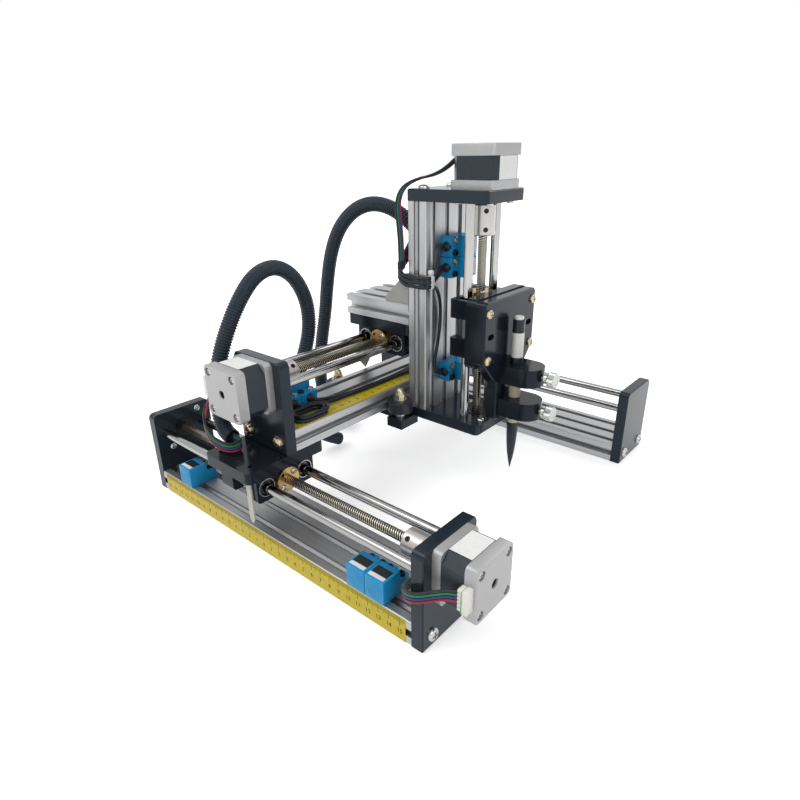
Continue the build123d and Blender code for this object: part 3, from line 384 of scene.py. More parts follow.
def turned(outline, steps=32):
    """A piece turned round Z from an outline of (radius, height) points."""
    piece = point_at((outline[0][0], 0, outline[0][1]))
    for (near, low), (far, high) in zip(outline, outline[1:]):
        move = (far - near, 0, high - low)
        bpy.ops.mesh.extrude_vertices_move(TRANSFORM_OT_translate={"value": move})
    bpy.ops.mesh.select_all(action="SELECT")
    bpy.ops.mesh.spin(steps=steps, angle=math.tau, center=(0, 0, 0), axis=(0, 0, 1))
    close_up()
    return piece


def tube(inner, outer, low, high, steps=32):
    """A plain ring turned round Z, or a solid disc where inner is 0."""
    outline = [(inner, low), (outer, low), (outer, high), (inner, high)]
    if inner:
        outline.append(outline[0])
    return turned(outline, steps)


def rework(piece, kind, wanted, operator, **settings):
    """Runs one edit-mode operator on those edges or faces that are wanted."""
    mode("EDIT")
    bpy.ops.mesh.select_mode(type=kind)
    bpy.ops.mesh.select_all(action="DESELECT")
    mode("OBJECT")
    for part in piece.data.edges if kind == "EDGE" else piece.data.polygons:
        part.select = wanted(part)
    mode("EDIT")
    operator(**settings)
    bpy.ops.mesh.select_mode(type="VERT")
    mode("OBJECT")


def block(low, high, ease=0, segments=2, upright=False):
    """A block between two corners, with all its edges eased, or only its upright ones."""
    low, high = Vector(low), Vector(high)
    bpy.ops.mesh.primitive_cube_add(size=1, location=(low + high) / 2)
    piece = bpy.context.object
    piece.scale = high - low
    bpy.ops.object.transform_apply(location=True, rotation=False, scale=True)

    def wanted(edge):
        start, end = (piece.data.vertices[index].co.z for index in edge.vertices)
        return not upright or abs(start - end) > 0.5 * (high - low).z

    if ease:
        bevel = {"offset": ease, "segments": segments, "affect": "EDGES"}
        rework(piece, "EDGE", wanted, bpy.ops.mesh.bevel, **bevel)
    return piece


def cut(piece, tool):
    """Cuts a tool's shape out of a piece and throws the tool away."""
    opening = piece.modifiers.new("cut", "BOOLEAN")
    opening.operation = "DIFFERENCE"
    opening.solver = "EXACT"
    opening.object = tool
    bpy.context.view_layer.objects.active = piece
    bpy.ops.object.modifier_apply(modifier="cut")
    bpy.data.objects.remove(tool)
    return piece


def joined(pieces):
    """One piece from several."""
    bpy.ops.object.select_all(action="DESELECT")
    for piece in pieces:
        piece.select_set(True)
    bpy.context.view_layer.objects.active = pieces[0]
    if len(pieces) > 1:
        bpy.ops.object.join()
    bpy.ops.object.select_all(action="DESELECT")
    return pieces[0]


def set_out(master, places):
    """Copies of one piece, each at its own place, as one piece."""
    copies = []
    for stood in places:
        copy = master.copy()
        copy.data = master.data.copy()
        copy.data.transform(stood)
        bpy.context.scene.collection.objects.link(copy)
        copies.append(copy)
    return joined(copies)


def fit(piece, name, made, body, slot, *replaced, angle=35):
    """Names a finished piece, gives it its finish and fixes it to its body."""
    piece.name = name
    piece.data.name = name
    piece.data.materials.clear()
    piece.data.materials.append(made)
    bpy.ops.object.select_all(action="DESELECT")
    piece.select_set(True)
    bpy.context.view_layer.objects.active = piece
    bpy.ops.object.shade_smooth_by_angle(angle=math.radians(angle))
    bpy.ops.object.select_all(action="DESELECT")
    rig.ride(piece, body)
    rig.slot(piece, slot)
    if replaced:
        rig.replaces(piece, *replaced)


def throw_away(*masters):
    """Clears away the pieces that were only made to be copied."""
    for master in masters:
        bpy.data.objects.remove(master)


def pan_screw(radius, height, shank_radius, shank):
    """A domed head on Z = 0 with a cross recess, its shank going down."""
    outline = [(0, -shank), (shank_radius, -shank), (shank_radius, 0), (radius, 0)]
    for out, up in ((1, 0.35), (0.93, 0.62), (0.75, 0.85), (0.4, 1), (0, 1)):
        outline.append((out * radius, up * height))
    screw = turned(outline, 28)
    arm, slit = 0.58 * radius, 0.11 * radius
    for x, y in ((arm, slit), (slit, arm)):
        cut(screw, block((-x, -y, 0.45 * height), (x, y, 2 * height)))
    return screw


def plate_screw_places(bar, rise=0):
    """Both screw places in the plates at both ends of a bar."""
    return [
        seat(bar, way * (half[bar] + plate_thick), side, 0, facing) @ at(0, 0, rise)
        for way, facing in ends for side in (-bolt_side, bolt_side)
    ]


steel = finish(
    "hardware steel", (0.42, 0.42, 0.42), (0.58, 0.58, 0.58), 0.26, 2000, metal=1.0, bump=0.02
)
brass_plated = finish(
    "brass plated", (0.44, 0.37, 0.24), (0.56, 0.49, 0.34), 0.28, 1500, metal=1.0, bump=0.02
)
plate_screw = pan_screw(radius=0.005, height=0.003, shank_radius=0.0021, shank=0.01)
washer = tube(0.0023, 0.0058, 0, washer_thick)
for part, places, name, made, body, slot, node in (
    (plate_screw, plate_screw_places("x") + plate_screw_places("rear"),
     "rail_plate_screws", steel, "base", "hardware_steel", "base_hardware"),
    (plate_screw, plate_screw_places("y", washer_thick),
     "gantry_plate_screws", brass_plated, "x_gantry", "brass", "gantry_hardware"),
    (washer, plate_screw_places("y"),
     "gantry_plate_washers", steel, "x_gantry", "hardware_steel", "gantry_hardware"),
    (plate_screw, plate_screw_places("z"),
     "column_plate_screws", steel, "cross_slide", "hardware_steel", "column_hardware"),
):
    fit(set_out(part, places), name, made, body, slot, node)
throw_away(plate_screw, washer)

# Guide rods and ball bushings. Rods ground from hardened steel, almost a mirror; the bushings in
# the carriages' blocks are darker, with their ends flush with the moulding.
rod_steel = finish(
    "rod steel", (0.31, 0.31, 0.305), (0.39, 0.39, 0.385), 0.14, 1500,
    metal=1.0, bump=0.01, rough_spread=0.04
)
dress(rod_steel, "rail_rods", "y_rods", "z_rods")
bushing_dark = finish(
    "bushing dark", (0.05, 0.055, 0.06), (0.09, 0.095, 0.1), 0.25, 1500, metal=0.9, bump=0.02
)
dress(bushing_dark, "gantry_bushings", "y_bushings", "z_bushings")

# End bearings. Ball bearings with black shields, let into the idler plates where the lead screws
# turn. Two pan screws on a diagonal, on the inner face, keep each one in its plate.
screw_rise = 0.048
bearing_sunk, shield_sunk, bearing_deep = 0.0001, 0.0004, 0.0069
bore_edge, shield_in, shield_out, bearing_edge = 0.0042, 0.0056, 0.0088, 0.0109
keeper_side = 0.0155
axes = (
    ("x", "base", "base_hardware"), ("y", "x_gantry", "gantry_hardware"),
    ("z", "cross_slide", "column_hardware"),
)
black_steel = finish(
    "blackened steel", (0.012, 0.013, 0.015), (0.03, 0.032, 0.035), 0.35, 1500, metal=0.8
)
bearing = turned([
    (bore_edge, 0), (shield_in, 0), (shield_in, shield_sunk), (shield_out, shield_sunk),
    (shield_out, 0), (bearing_edge, 0), (bearing_edge, -bearing_deep), (bore_edge, -bearing_deep),
    (bore_edge, 0),
], 40)
keeper_screw = pan_screw(radius=0.0033, height=0.0022, shank_radius=0.0015, shank=0.004)


def diagonal(bar, along, side):
    """Two screw places on a diagonal, one each side of the lead screw."""
    return [seat(bar, along, way, screw_rise + way, "out") for way in (-side, side)]


for bar, body, node in axes:
    place = seat(bar, -half[bar] - bearing_sunk, 0, screw_rise, "out")
    fit(set_out(bearing, [place]), bar + "_end_bearing", black_steel, body, "hardware_steel", node)
    places = diagonal(bar, -half[bar], keeper_side)
    fit(set_out(keeper_screw, places), bar + "_bearing_screws", steel, body, "hardware_steel")
throw_away(bearing, keeper_screw)

# Stepper motors. Cast and machined front flange and rear cap, in satin aluminium, clamp a stack of
# black steel sheets between them. Four long screws run through from the cap; the label is bare.
motor_half = 0.02115
flange_long, stator_long, cap_long = 0.007, 0.018, 0.009
corner_round, corner_cut = 0.0042, 0.0073
screw_side, well_radius, well_deep = 0.0155, 0.0034, 0.0022
sheets, sheet_share = 12, 0.998
pin_pitch, pin_half = 0.0028, 0.0006
front_face = stator_long + flange_long
rear_face = front_face + cap_long
shell = finish(
    "motor shell", (0.35, 0.35, 0.355), (0.44, 0.44, 0.445), 0.42, 3000, metal=0.5, bump=0.2
)
stator_and_hole_shade_black = finish(
    "stator sheets and hole shade", (0.013, 0.019, 0.026), (0.026, 0.034, 0.044), 0.36, 1500, bump=0.05, gloss=0.3
)
socket_white = finish("socket white", (0.72, 0.71, 0.66), (0.8, 0.79, 0.74), 0.4, 800)
label_white = finish("bare label", (0.74, 0.74, 0.73), (0.8, 0.8, 0.79), 0.5, 500, bump=0.02)
strip_green = finish("plug strip", (0.05, 0.3, 0.12), (0.08, 0.38, 0.16), 0.4, 900)


def motor_slab(low, high, corner, segments):
    """One part of the motor's square body, with its four upright corners worked."""
    start, end = (-motor_half, -motor_half, low), (motor_half, motor_half, high)
    return block(start, end, corner, segments, upright=True)


flange = motor_slab(0, flange_long, corner_round, 4)
boss = turned([
    (0.0027, -0.002), (0.0105, -0.002), (0.011, -0.0015), (0.011, 0.001), (0.0027, 0.001),
    (0.0027, -0.002),
])
flange = joined([flange, boss])
stator = motor_slab(flange_long, front_face, corner_cut, 1)
mode("EDIT")
for number in range(1, sheets):
    height = flange_long + number * stator_long / sheets
    bpy.ops.mesh.select_all(action="SELECT")
    bpy.ops.mesh.bisect(plane_co=(0, 0, height), plane_no=(0, 0, 1))
mode("OBJECT")
for vertex in stator.data.vertices:
    if round((vertex.co.z - flange_long) / stator_long * sheets) % 2:
        vertex.co.x *= sheet_share
        vertex.co.y *= sheet_share
cap = motor_slab(front_face, rear_face, corner_round, 4)
rework(
    cap, "FACE", lambda face: face.normal.z > 0.9,
    bpy.ops.mesh.bevel, offset=0.0008, segments=2, affect="EDGES"
)
corners = [(x, y) for x in (-screw_side, screw_side) for y in (-screw_side, screw_side)]
for x, y in corners:
    well = tube(0, well_radius, -well_deep, 0.001, 20)
    well.data.transform(at(x, y, rear_face))
    cut(cap, well)
hole = turned([(0, -0.0075), (0.0034, -0.0075), (0.0034, -0.0006), (0.004, 0.001), (0, 0.001)])
hole.data.transform(at(0, 0, rear_face))
cut(cap, hole)
# A dark cup lines the wall and floor of the rear cap's centre hole, painted shade in the hole, with the shaft's end
# standing in it in the same near-black finish.
hole_shade_and_shaft_end = turned([
    (0, -0.0079), (0.0036, -0.0079), (0.0036, -0.0012), (0.0031, -0.0012), (0.0031, -0.007),
    (0.0013, -0.007), (0.0011, -0.0038), (0, -0.0038),
], 24)
hole_shade_and_shaft_end.data.transform(at(0, 0, rear_face))
cap_screw = pan_screw(radius=0.0027, height=0.0017, shank_radius=0.0012, shank=0.001)
cap_screws = set_out(cap_screw, [at(x, y, rear_face - well_deep) for x, y in corners])
throw_away(cap_screw)
plug = block((-0.008, 0.0213, 0.024), (0.008, 0.0272, 0.0276), 0.0004)
for number in range(5):
    x = (number - 2) * pin_pitch
    cut(plug, block((x - pin_half, 0.0225, 0.023), (x + pin_half, 0.029, 0.0256)))
socket = joined([block((-0.0085, 0.021, 0.0278), (0.0085, 0.0282, 0.032), 0.0004), plug])
strip = block((-0.0082, 0.0212, 0.0275), (0.0082, 0.0284, 0.0281), 0.0001)
label = block((-0.0087, -0.013, 0), (0.0087, 0.013, 0.0002), 0.00008, 1)
socket_turn = {"x": math.pi / 2, "y": math.pi / 2, "z": math.pi}
for bar, body, _ in axes:
    node = bar + "_motor"
    foot = half[bar] + plate_thick
    place = seat(bar, foot, 0, screw_rise, "out")
    socket_way = place @ Matrix.Rotation(socket_turn[bar], 4, "Z")
    on_top = seat(bar, foot + flange_long + stator_long / 2, 0, screw_rise + motor_half, "up")
    fit(set_out(flange, [place]), node + "_flange", shell, body, "motor_shell", node)
    fit(set_out(stator, [place]), node + "_stator", stator_and_hole_shade_black, body, "motor_shell", node, angle=5)
    fit(set_out(cap, [place]), node + "_cap", shell, body, "motor_shell", node)
    fit(set_out(cap_screws, [place]), node + "_cap_screws", steel, body, "hardware_steel", node)
    fit(set_out(socket, [socket_way]), node + "_socket", socket_white, body, "motor_shell", node)
    fit(set_out(strip, [socket_way]), node + "_plug_strip", strip_green, body, "motor_shell")
    fit(set_out(label, [on_top]), node + "_label", label_white, body, "motor_shell")
    # The hole's lining is painted shade, in the stator sheets' black; the stator itself is really black.
    fit(set_out(hole_shade_and_shaft_end, [place]), node + "_hole_shade_and_shaft_end", stator_and_hole_shade_black, body, "motor_shell")
throw_away(flange, stator, cap, cap_screws, socket, strip, label, hole_shade_and_shaft_end)


# Motor screws. Four small steel cap screws with a hexagon socket hold each motor. They go through
# its end plate into the tapped holes of the motor's flange.
def socket_screw(radius, height, shank):
    """A cap screw with its head standing on Z = 0 and a hexagon cut in it."""
    edge, core = 0.12 * radius, 0.55 * radius
    screw = turned([
        (0, -shank), (core, -shank), (core, 0), (radius, 0), (radius, height - edge),
        (radius - edge, height), (0, height),
    ], 24)
    bpy.ops.mesh.primitive_cylinder_add(
        vertices=6, radius=core, depth=height, location=(0, 0, height)
    )
    tool = bpy.context.object
    bpy.ops.object.transform_apply(location=True)
    return cut(screw, tool)


motor_screw = socket_screw(radius=0.00275, height=0.002, shank=0.004)
for bar, body, node in axes:
    places = [seat(bar, half[bar], x, screw_rise + y, "in") for x, y in corners]
    fit(set_out(motor_screw, places), bar + "_motor_screws", steel, body, "hardware_steel", node)
throw_away(motor_screw)

# Couplers. Turned aluminium sleeves that clamp the motor's shaft to the screw with two set screws
# at each end, in tapped holes a quarter turn apart.
coupler_long, coupler_radius, coupler_edge, shaft_bore = 0.025, 0.01, 0.0008, 0.0041
coupler_gap, set_screw_in = 0.002, 0.005
coupler_metal = finish(
    "coupler metal", (0.42, 0.41, 0.39), (0.52, 0.51, 0.49), 0.34, 1200, metal=0.8
)
sleeve = turned([
    (shaft_bore, 0), (coupler_radius - coupler_edge, 0), (coupler_radius, coupler_edge),
    (coupler_radius, coupler_long - coupler_edge), (coupler_radius - coupler_edge, coupler_long),
    (shaft_bore, coupler_long), (shaft_bore, 0),
], 48)
set_screws = []
on_side = Matrix.Rotation(math.pi / 2, 4, "Y")
for height in (set_screw_in, coupler_long - set_screw_in):
    for turn in (0.25, 0.75):
        lying = Matrix.Rotation(turn * math.pi, 4, "Z") @ at(0, 0, height) @ on_side
        bore = tube(0, 0.0021, 0.0075, 0.012, 16)
        bore.data.transform(lying)
        cut(sleeve, bore)
        grub = socket_screw(radius=0.0019, height=0.0012, shank=0.0001)
        grub.data.transform(lying @ at(0, 0, 0.0078))
        set_screws.append(grub)
set_screws = joined(set_screws)
for bar in ("x", "y", "z"):
    name, body = bar + "_coupler", bar + "_screw"
    place = seat(bar, half[bar] - coupler_gap - coupler_long, 0, screw_rise, "out")
    fit(set_out(sleeve, [place]), name + "_sleeve", coupler_metal, body, "coupler_metal", name)
    fit(set_out(set_screws, [place]), name + "_set_screws", black_steel, body, "hardware_steel")
throw_away(sleeve, set_screws)

# Lead screws. Rolled steel rods with a four-start trapezoidal thread: one turn moves the nut 8 mm,
# and the thread's four ridges stand 2 mm apart. One lead of the ridges is drawn and screwed along.
lead, starts, screw_tail = 0.008, 4, 0.007
thread_out, thread_in, root_within = 0.004, 0.0032, 0.00375
pitch = lead / starts
thread_steel = finish("thread steel", (0.46, 0.42, 0.35), (0.6, 0.56, 0.48), 0.3, 1500, metal=1.0)
# The faces in the thread's roots take a near-black finish: painted shade in the grooves between the ridges, not a
# colour of the steel.
thread_root_shade = finish(
    "painted shade in thread roots", (0.02, 0.016, 0.012), (0.05, 0.042, 0.032), 0.5, 1500, metal=0.6
)
for bar in ("x", "y", "z"):
    body, node = bar + "_screw", bar + "_leadscrew"
    long = 2 * half[bar] + screw_tail - coupler_gap - coupler_long / 2
    screw = point_at((thread_in, 0, 0))
    for _ in range(starts):
        for out, share in ((0, 0.28), (1, 0.16), (0, 0.4), (-1, 0.16)):
            move = (out * (thread_out - thread_in), 0, share * pitch)
            bpy.ops.mesh.extrude_vertices_move(TRANSFORM_OT_translate={"value": move})
    mode("OBJECT")
    winding = screw.modifiers.new("winding", "SCREW")
    winding.axis = "Z"
    winding.screw_offset = lead
    winding.iterations = int(long / lead) + 3
    winding.steps = winding.render_steps = 20
    winding.use_merge_vertices = True
    winding.merge_threshold = same_point
    bpy.ops.object.modifier_apply(modifier="winding")
    screw.data.transform(at(0, 0, -lead))
    mode("EDIT")
    for height, way in ((0, 1), (long, -1)):
        bpy.ops.mesh.select_all(action="SELECT")
        bpy.ops.mesh.bisect(
            plane_co=(0, 0, height), plane_no=(0, 0, way), clear_inner=True, use_fill=True
        )
    close_up()
    # Faces nearer the axis than root_within lie in the thread's roots; they get the painted shade finish.
    roots = [face.index for face in screw.data.polygons if face.center.xy.length < root_within]
    screw.data.transform(seat(bar, -half[bar] - screw_tail, 0, screw_rise, "out"))
    fit(screw, body + "_thread", thread_steel, body, "hardware_steel", node, angle=60)
    screw.data.materials.append(thread_root_shade)
    for number in roots:
        screw.data.polygons[number].material_index = 1
    shaft = tube(0, 0.0025, -0.02, 0.0035, 24)
    shaft.data.transform(seat(bar, half[bar] + plate_thick, 0, screw_rise, "out"))
    fit(shaft, bar + "_motor_shaft", rod_steel, body, "hardware_steel", node)

# Carriages. Black moulded tables on two arched bearing blocks, one for each pair of rods. A thin
# steel rim closes each bushing's bore in the blocks' outer faces.
block_reach, rod_side = 0.025, 0.02
moulding_black = finish(
    "moulding black", (0.007, 0.01, 0.014), (0.012, 0.016, 0.022), 0.15, 1800,
    bump=0.02, gloss=0.2, tint=cool_sheen
)
dress(moulding_black, "x_carriage", "rear_carriage", "y_carriage", "z_carriage")
rim = tube(0.0074, 0.008, 0, 0.0003, 40)
for bar, middle, body in (
    ("x", -0.026, "x_gantry"), ("rear", -0.026, "x_gantry"),
    ("y", -0.004, "cross_slide"), ("z", -0.008, "z_slide_body"),
):
    places = [
        seat(bar, middle + way * block_reach, side, screw_rise, facing)
        for way, facing in ends for side in (-rod_side, rod_side)
    ]
    fit(set_out(rim, places), bar + "_bushing_rims", steel, body, "hardware_steel")
throw_away(rim)

# Nuts. Flanged brass nuts let into the bearing block nearer the motor, each held by two steel
# screws on a diagonal; the other two holes of the flange stay open.
nut_flange, nut_screw_side = 0.0035, 0.008 * math.sqrt(0.5)
brass = finish("brass", (0.5, 0.31, 0.11), (0.66, 0.44, 0.19), 0.3, 1500, metal=1.0)
dress(brass, "x_nut", "y_nut", "z_nut")
nut_screw = pan_screw(radius=0.0026, height=0.0018, shank_radius=0.0014, shank=0.003)
for bar, nut_face, body in (
    ("x", -0.001, "x_gantry"), ("y", 0.021, "cross_slide"), ("z", 0.017, "z_slide_body")
):
    places = diagonal(bar, nut_face + nut_flange, nut_screw_side)
    fit(set_out(nut_screw, places), bar + "_nut_screws", steel, body, "hardware_steel")
throw_away(nut_screw)

# Limit sensors. Blue moulded blocks with rings round the sensing face, a lower tail with two
# fixing holes and a notch, and a bare label, half white and half black, on the head.
sensor_long, sensor_half, sensor_high = 0.028, 0.009, 0.0195
tail_long, tail_high = 0.01, 0.0115
hole_side, hole_along = 0.0055, sensor_long - tail_long / 2
label_half, label_top = 0.0072, sensor_high + 0.0002
sensor_blue = finish(
    "sensor blue", (0.006, 0.24, 0.52), (0.011, 0.3, 0.6), 0.36, 2500, bump=0.05, gloss=0.35
)
label_black = finish(
    "label black", (0.008, 0.012, 0.012), (0.016, 0.022, 0.02), 0.35, 600, bump=0.02, gloss=0.3
)
housing = block((-sensor_half, 0, 0), (sensor_half, sensor_long, sensor_high), 0.0007)
cut(housing, block((-0.02, sensor_long - tail_long, tail_high), (0.02, 0.04, 0.03), 0.0003, 1))
for x, y in ((-hole_side, hole_along), (hole_side, hole_along), (0, sensor_long)):
    bore = tube(0, 0.0016, -0.001, 0.02, 20)
    bore.data.transform(at(x, y, 0))
    cut(housing, bore)
window_low, window_high = tail_high - 0.0006, tail_high + 0.001
cut(housing, block((-0.0016, 0.0251, window_low), (0.0016, 0.0268, window_high), 0.0004, 1))
rings = joined([
    tube(radius - 0.0002, radius + 0.0002, -0.0002, 0.00015) for radius in (0.0068, 0.0046, 0.0026)
])
upright = Matrix.Rotation(math.pi / 2, 4, "X")
rings.data.transform(at(0, 0, 0.0102) @ upright)
housing = joined([housing, rings])
white_half, black_half = (
    block((-label_half, near, sensor_high), (label_half, far, label_top), 0.00006, 1)
    for near, far in ((0.0016, 0.0052), (0.0052, 0.0132))
)
sensor_screw = socket_screw(radius=0.0029, height=0.002, shank=0.008)
sensor_places = {
    "x": [(0.1264, -0.03), (0.108, -0.03), (-0.117, -0.03)],
    "y": [(0.1335, -0.03), (0.1151, -0.03)],
    "z": [(0.0564, -0.02), (0.038, -0.02), (-0.0606, -0.02)],
}
bar_face = 0.01
screw_metals = {
    "x": (black_steel, black_steel), "y": (steel, black_steel), "z": (black_steel, brass_plated),
}
for bar, body, node in axes:
    name = bar + "_sensor"
    places = [seat(bar, along, side, bar_face, "up") for along, side in sensor_places[bar]]
    fit(set_out(housing, places), name + "_housings", sensor_blue, body, "sensor_blue", name + "s")
    fit(set_out(white_half, places), name + "_labels_white", label_white, body, "sensor_blue")
    fit(set_out(black_half, places), name + "_labels_black", label_black, body, "sensor_blue")
    for x, end, metal in zip((-hole_side, hole_side), ("_low", "_high"), screw_metals[bar]):
        row = set_out(sensor_screw, [place @ at(x, hole_along, tail_high) for place in places])
        fit(row, name + "_screws" + end, metal, body, "hardware_steel", node)
throw_away(housing, white_half, black_half, sensor_screw)

# Ruler tapes. Yellow coated tape stuck on the front rail and along the gantry bar, with a line
# for each millimetre, longer at five and ten, and a plain number at each centimetre.
tape_half = 0.155
tape_yellow = finish(
    "tape yellow", (0.52, 0.4, 0.008), (0.6, 0.47, 0.015), 0.35, 250, bump=0.02, gloss=0.3
)
dress(tape_yellow, "x_ruler", "y_ruler")
ink = finish(
    "ruler ink", (0.004, 0.004, 0.003), (0.012, 0.011, 0.008), 0.5, 3000, bump=0.01, gloss=0.2
)


def ruler_marks(edge, base):
    """Lines and numbers for a tape that lies on Z = 0 along X: lines start at edge."""
    marks = []
    for step, long, wide in (
        (0.001, 0.0034, 0.00024), (0.005, 0.0046, 0.00028), (0.01, 0.0068, 0.00034)
    ):
        first = -tape_half + min(step, 0.005)
        tick = block((first - wide / 2, edge - long, -0.00002), (first + wide / 2, edge, 0.00006))
        row = tick.modifiers.new("row", "ARRAY")
        row.count = round(-2 * first / step) + 1
        row.use_relative_offset = False
        row.use_constant_offset = True
        row.constant_offset_displace = (step, 0, 0)
        bpy.ops.object.modifier_apply(modifier="row")
        marks.append(tick)
    for number in range(-15, 16):
        bpy.ops.object.text_add(location=(0, 0, 0))
        figure = bpy.context.object
        figure.data.body = str(abs(number))
        figure.data.size = 0.0052
        figure.data.align_x = figure.data.align_y = "CENTER"
        figure.data.extrude = 0.00004
        figure.data.resolution_u = 2
        bpy.ops.object.convert(target="MESH")
        figure = bpy.context.object
        figure.data.transform(at(number / 100, base, 0.00002))
        marks.append(figure)
    return joined(marks)


x_marks = ruler_marks(edge=0.0092, base=-0.0022)
x_marks.data.transform(seat("x", 0, -0.0303, 0, "up") @ upright)
fit(x_marks, "x_ruler_marks", ink, "base", "tape_yellow")
y_marks = ruler_marks(edge=0.0077, base=-0.0018)
y_marks.data.transform(seat("y", 0, 0.0213, 0.0103, "up") @ Matrix.Rotation(math.pi, 4, "Z"))
fit(y_marks, "y_ruler_marks", ink, "x_gantry", "tape_yellow")

# Pointers and the arm's corner bracket. The pointers are cut from grey sheet; the bracket is a
# die casting with a grainy skin, two legs and two webs, screwed to the arm and to the column.
pointer_grey = finish(
    "pointer grey", (0.42, 0.41, 0.37), (0.52, 0.51, 0.46), 0.45, 900, metal=0.2, bump=0.05
)
dress(pointer_grey, "x_pointer", "y_pointer")
cast_grey = finish(
    "cast grey", (0.27, 0.27, 0.26), (0.38, 0.38, 0.36), 0.5, 1500, metal=0.5, bump=0.25
)
dress(cast_grey, "arm_bracket")

# Guide rollers. Black plastic wheels on bolts that stand on the bracket under the cross slide,
# each between a steel spacer and a washer, and closed by a brass cap nut.
roller_black = finish(
    "roller black", (0.01, 0.012, 0.014), (0.02, 0.023, 0.027), 0.4, 1500, bump=0.05, gloss=0.3
)
dress(roller_black, "left_roller", "right_roller")
dress(moulding_black, "roller_bracket")
roller_places = [at(x, 0.128, 0) for x in (-0.0683, 0.0163)]
spacer = tube(0.003, 0.005, 0.0746, 0.08045)
roller_washer = tube(0.003, 0.0065, 0.09155, 0.093)
bolt_head = turned([
    (0, 0.0626), (0.0045, 0.0626), (0.005, 0.0631), (0.005, 0.0656), (0.0028, 0.0656),
    (0.0028, 0.095),
], 6)
bolt = joined([spacer, roller_washer, bolt_head])
cap_nut = turned([(0.003, 0.093), (0.005, 0.093), (0.005, 0.0975), (0.0042, 0.0982)], 6)
dome = turned([
    (0.0042, 0.0978), (0.0039, 0.1002), (0.003, 0.1022), (0.0016, 0.1035), (0, 0.104)
], 24)
cap_nut = joined([cap_nut, dome])
for part, name, made, slot in (
    (bolt, "roller_bolts", steel, "hardware_steel"),
    (cap_nut, "roller_cap_nuts", brass_plated, "brass"),
):
    fit(set_out(part, roller_places), name, made, "cross_slide", slot, "column_hardware")
throw_away(bolt, cap_nut)

# Pen holder. A black plate on the Z carriage with a tongue that carries two clamp lugs; four
# brass-plated pan screws hold it. The knurled thumb screws in the lugs press on the pen.
ridges, knurl_from, groove_share = 40, 0.0062, 0.955
dress(moulding_black, "pen_plate")
pen_plate_screw = pan_screw(radius=0.004, height=0.0026, shank_radius=0.002, shank=0.006)
facing_x = Matrix(((0, 0, 1, 0), (1, 0, 0, 0), (0, 1, 0, 0), (0, 0, 0, 1)))
places = [
    at(0.104, 0.174 + across, 0.166 + up) @ facing_x
    for across in (-0.035, 0.035) for up in (-0.02, 0.02)
]
plate_screws = set_out(pen_plate_screw, places)
fit(plate_screws, "pen_plate_pan_screws", brass_plated, "z_slide_body", "brass", "pen_plate_screws")
throw_away(pen_plate_screw)
knurl_steel = finish(
    "knurled steel", (0.4, 0.41, 0.39), (0.52, 0.53, 0.51), 0.3, 1500, metal=1.0, bump=0.02
)
for name, height in (("upper_thumb", 0.129), ("lower_thumb", 0.098)):
    head = turned([
        (0, 0), (0.004, 0), (0.0044, 0.0005), (0.0044, 0.0038), (0.0058, 0.004), (0.0065, 0.0048),
        (0.0065, 0.0102), (0.0059, 0.011), (0.0035, 0.011), (0.0032, 0.0107), (0, 0.0107),
    ], 2 * ridges)
    for vertex in head.data.vertices:
        turn = round(math.atan2(vertex.co.y, vertex.co.x) / math.pi * ridges)
        if vertex.co.xy.length > knurl_from and turn % 2:
            vertex.co.x *= groove_share
            vertex.co.y *= groove_share
    stem = turned([(0, -0.0224), (0.0014, -0.0224), (0.002, -0.0218), (0.002, 0)], 20)
    thumb = joined([head, stem])
    thumb.data.transform(at(0.14, 0.174, height) @ facing_x)
    fit(thumb, name + "_knob", knurl_steel, name, "hardware_steel", name + "_screw", angle=20)

# Pen. A plastic drawing pen: black cap with a pale end, a pale band, cream barrel, and a black
# cone down to the nib. It stands in both lugs.
pen_black = finish("pen black", (0.008, 0.011, 0.016), (0.014, 0.019, 0.027), 0.3, 1500, gloss=0.3)
pen_white = finish("pen white", (0.66, 0.66, 0.64), (0.74, 0.74, 0.72), 0.35, 900)
pen_cream = finish("pen cream", (0.58, 0.52, 0.4), (0.66, 0.6, 0.48), 0.35, 900)
for name, made, part in (
    ("pen_nib", pen_black, turned([
        (0, 0.033), (0.0004, 0.033), (0.001, 0.0365), (0.0022, 0.0425), (0.0034, 0.05),
        (0.0043, 0.059), (0.0049, 0.069), (0.0052, 0.08), (0.005, 0.081), (0, 0.081),
    ])),
    ("pen_ring", pen_cream, tube(0, 0.0052, 0.081, 0.0845)),
    ("pen_barrel_low", pen_black, tube(0, 0.0051, 0.0845, 0.102)),
    ("pen_barrel", pen_cream, tube(0, 0.0053, 0.102, 0.117)),
    ("pen_barrel_high", pen_black, tube(0, 0.0053, 0.117, 0.143)),
    ("pen_band", pen_white, tube(0, 0.0052, 0.143, 0.165)),
    ("pen_cap", pen_black, turned([
        (0, 0.165), (0.0053, 0.165), (0.0053, 0.167), (0.0051, 0.167), (0.0051, 0.1758),
        (0.0046, 0.1764), (0, 0.1764),
    ])),
    ("pen_cap_end", pen_white, turned([
        (0, 0.1764), (0.004, 0.1764), (0.004, 0.1784), (0.0034, 0.179), (0, 0.179)
    ])),
):
    part.data.transform(at(0.112, 0.174, 0))
    fit(part, name, made, "z_slide_body", "pen_body", "pen")

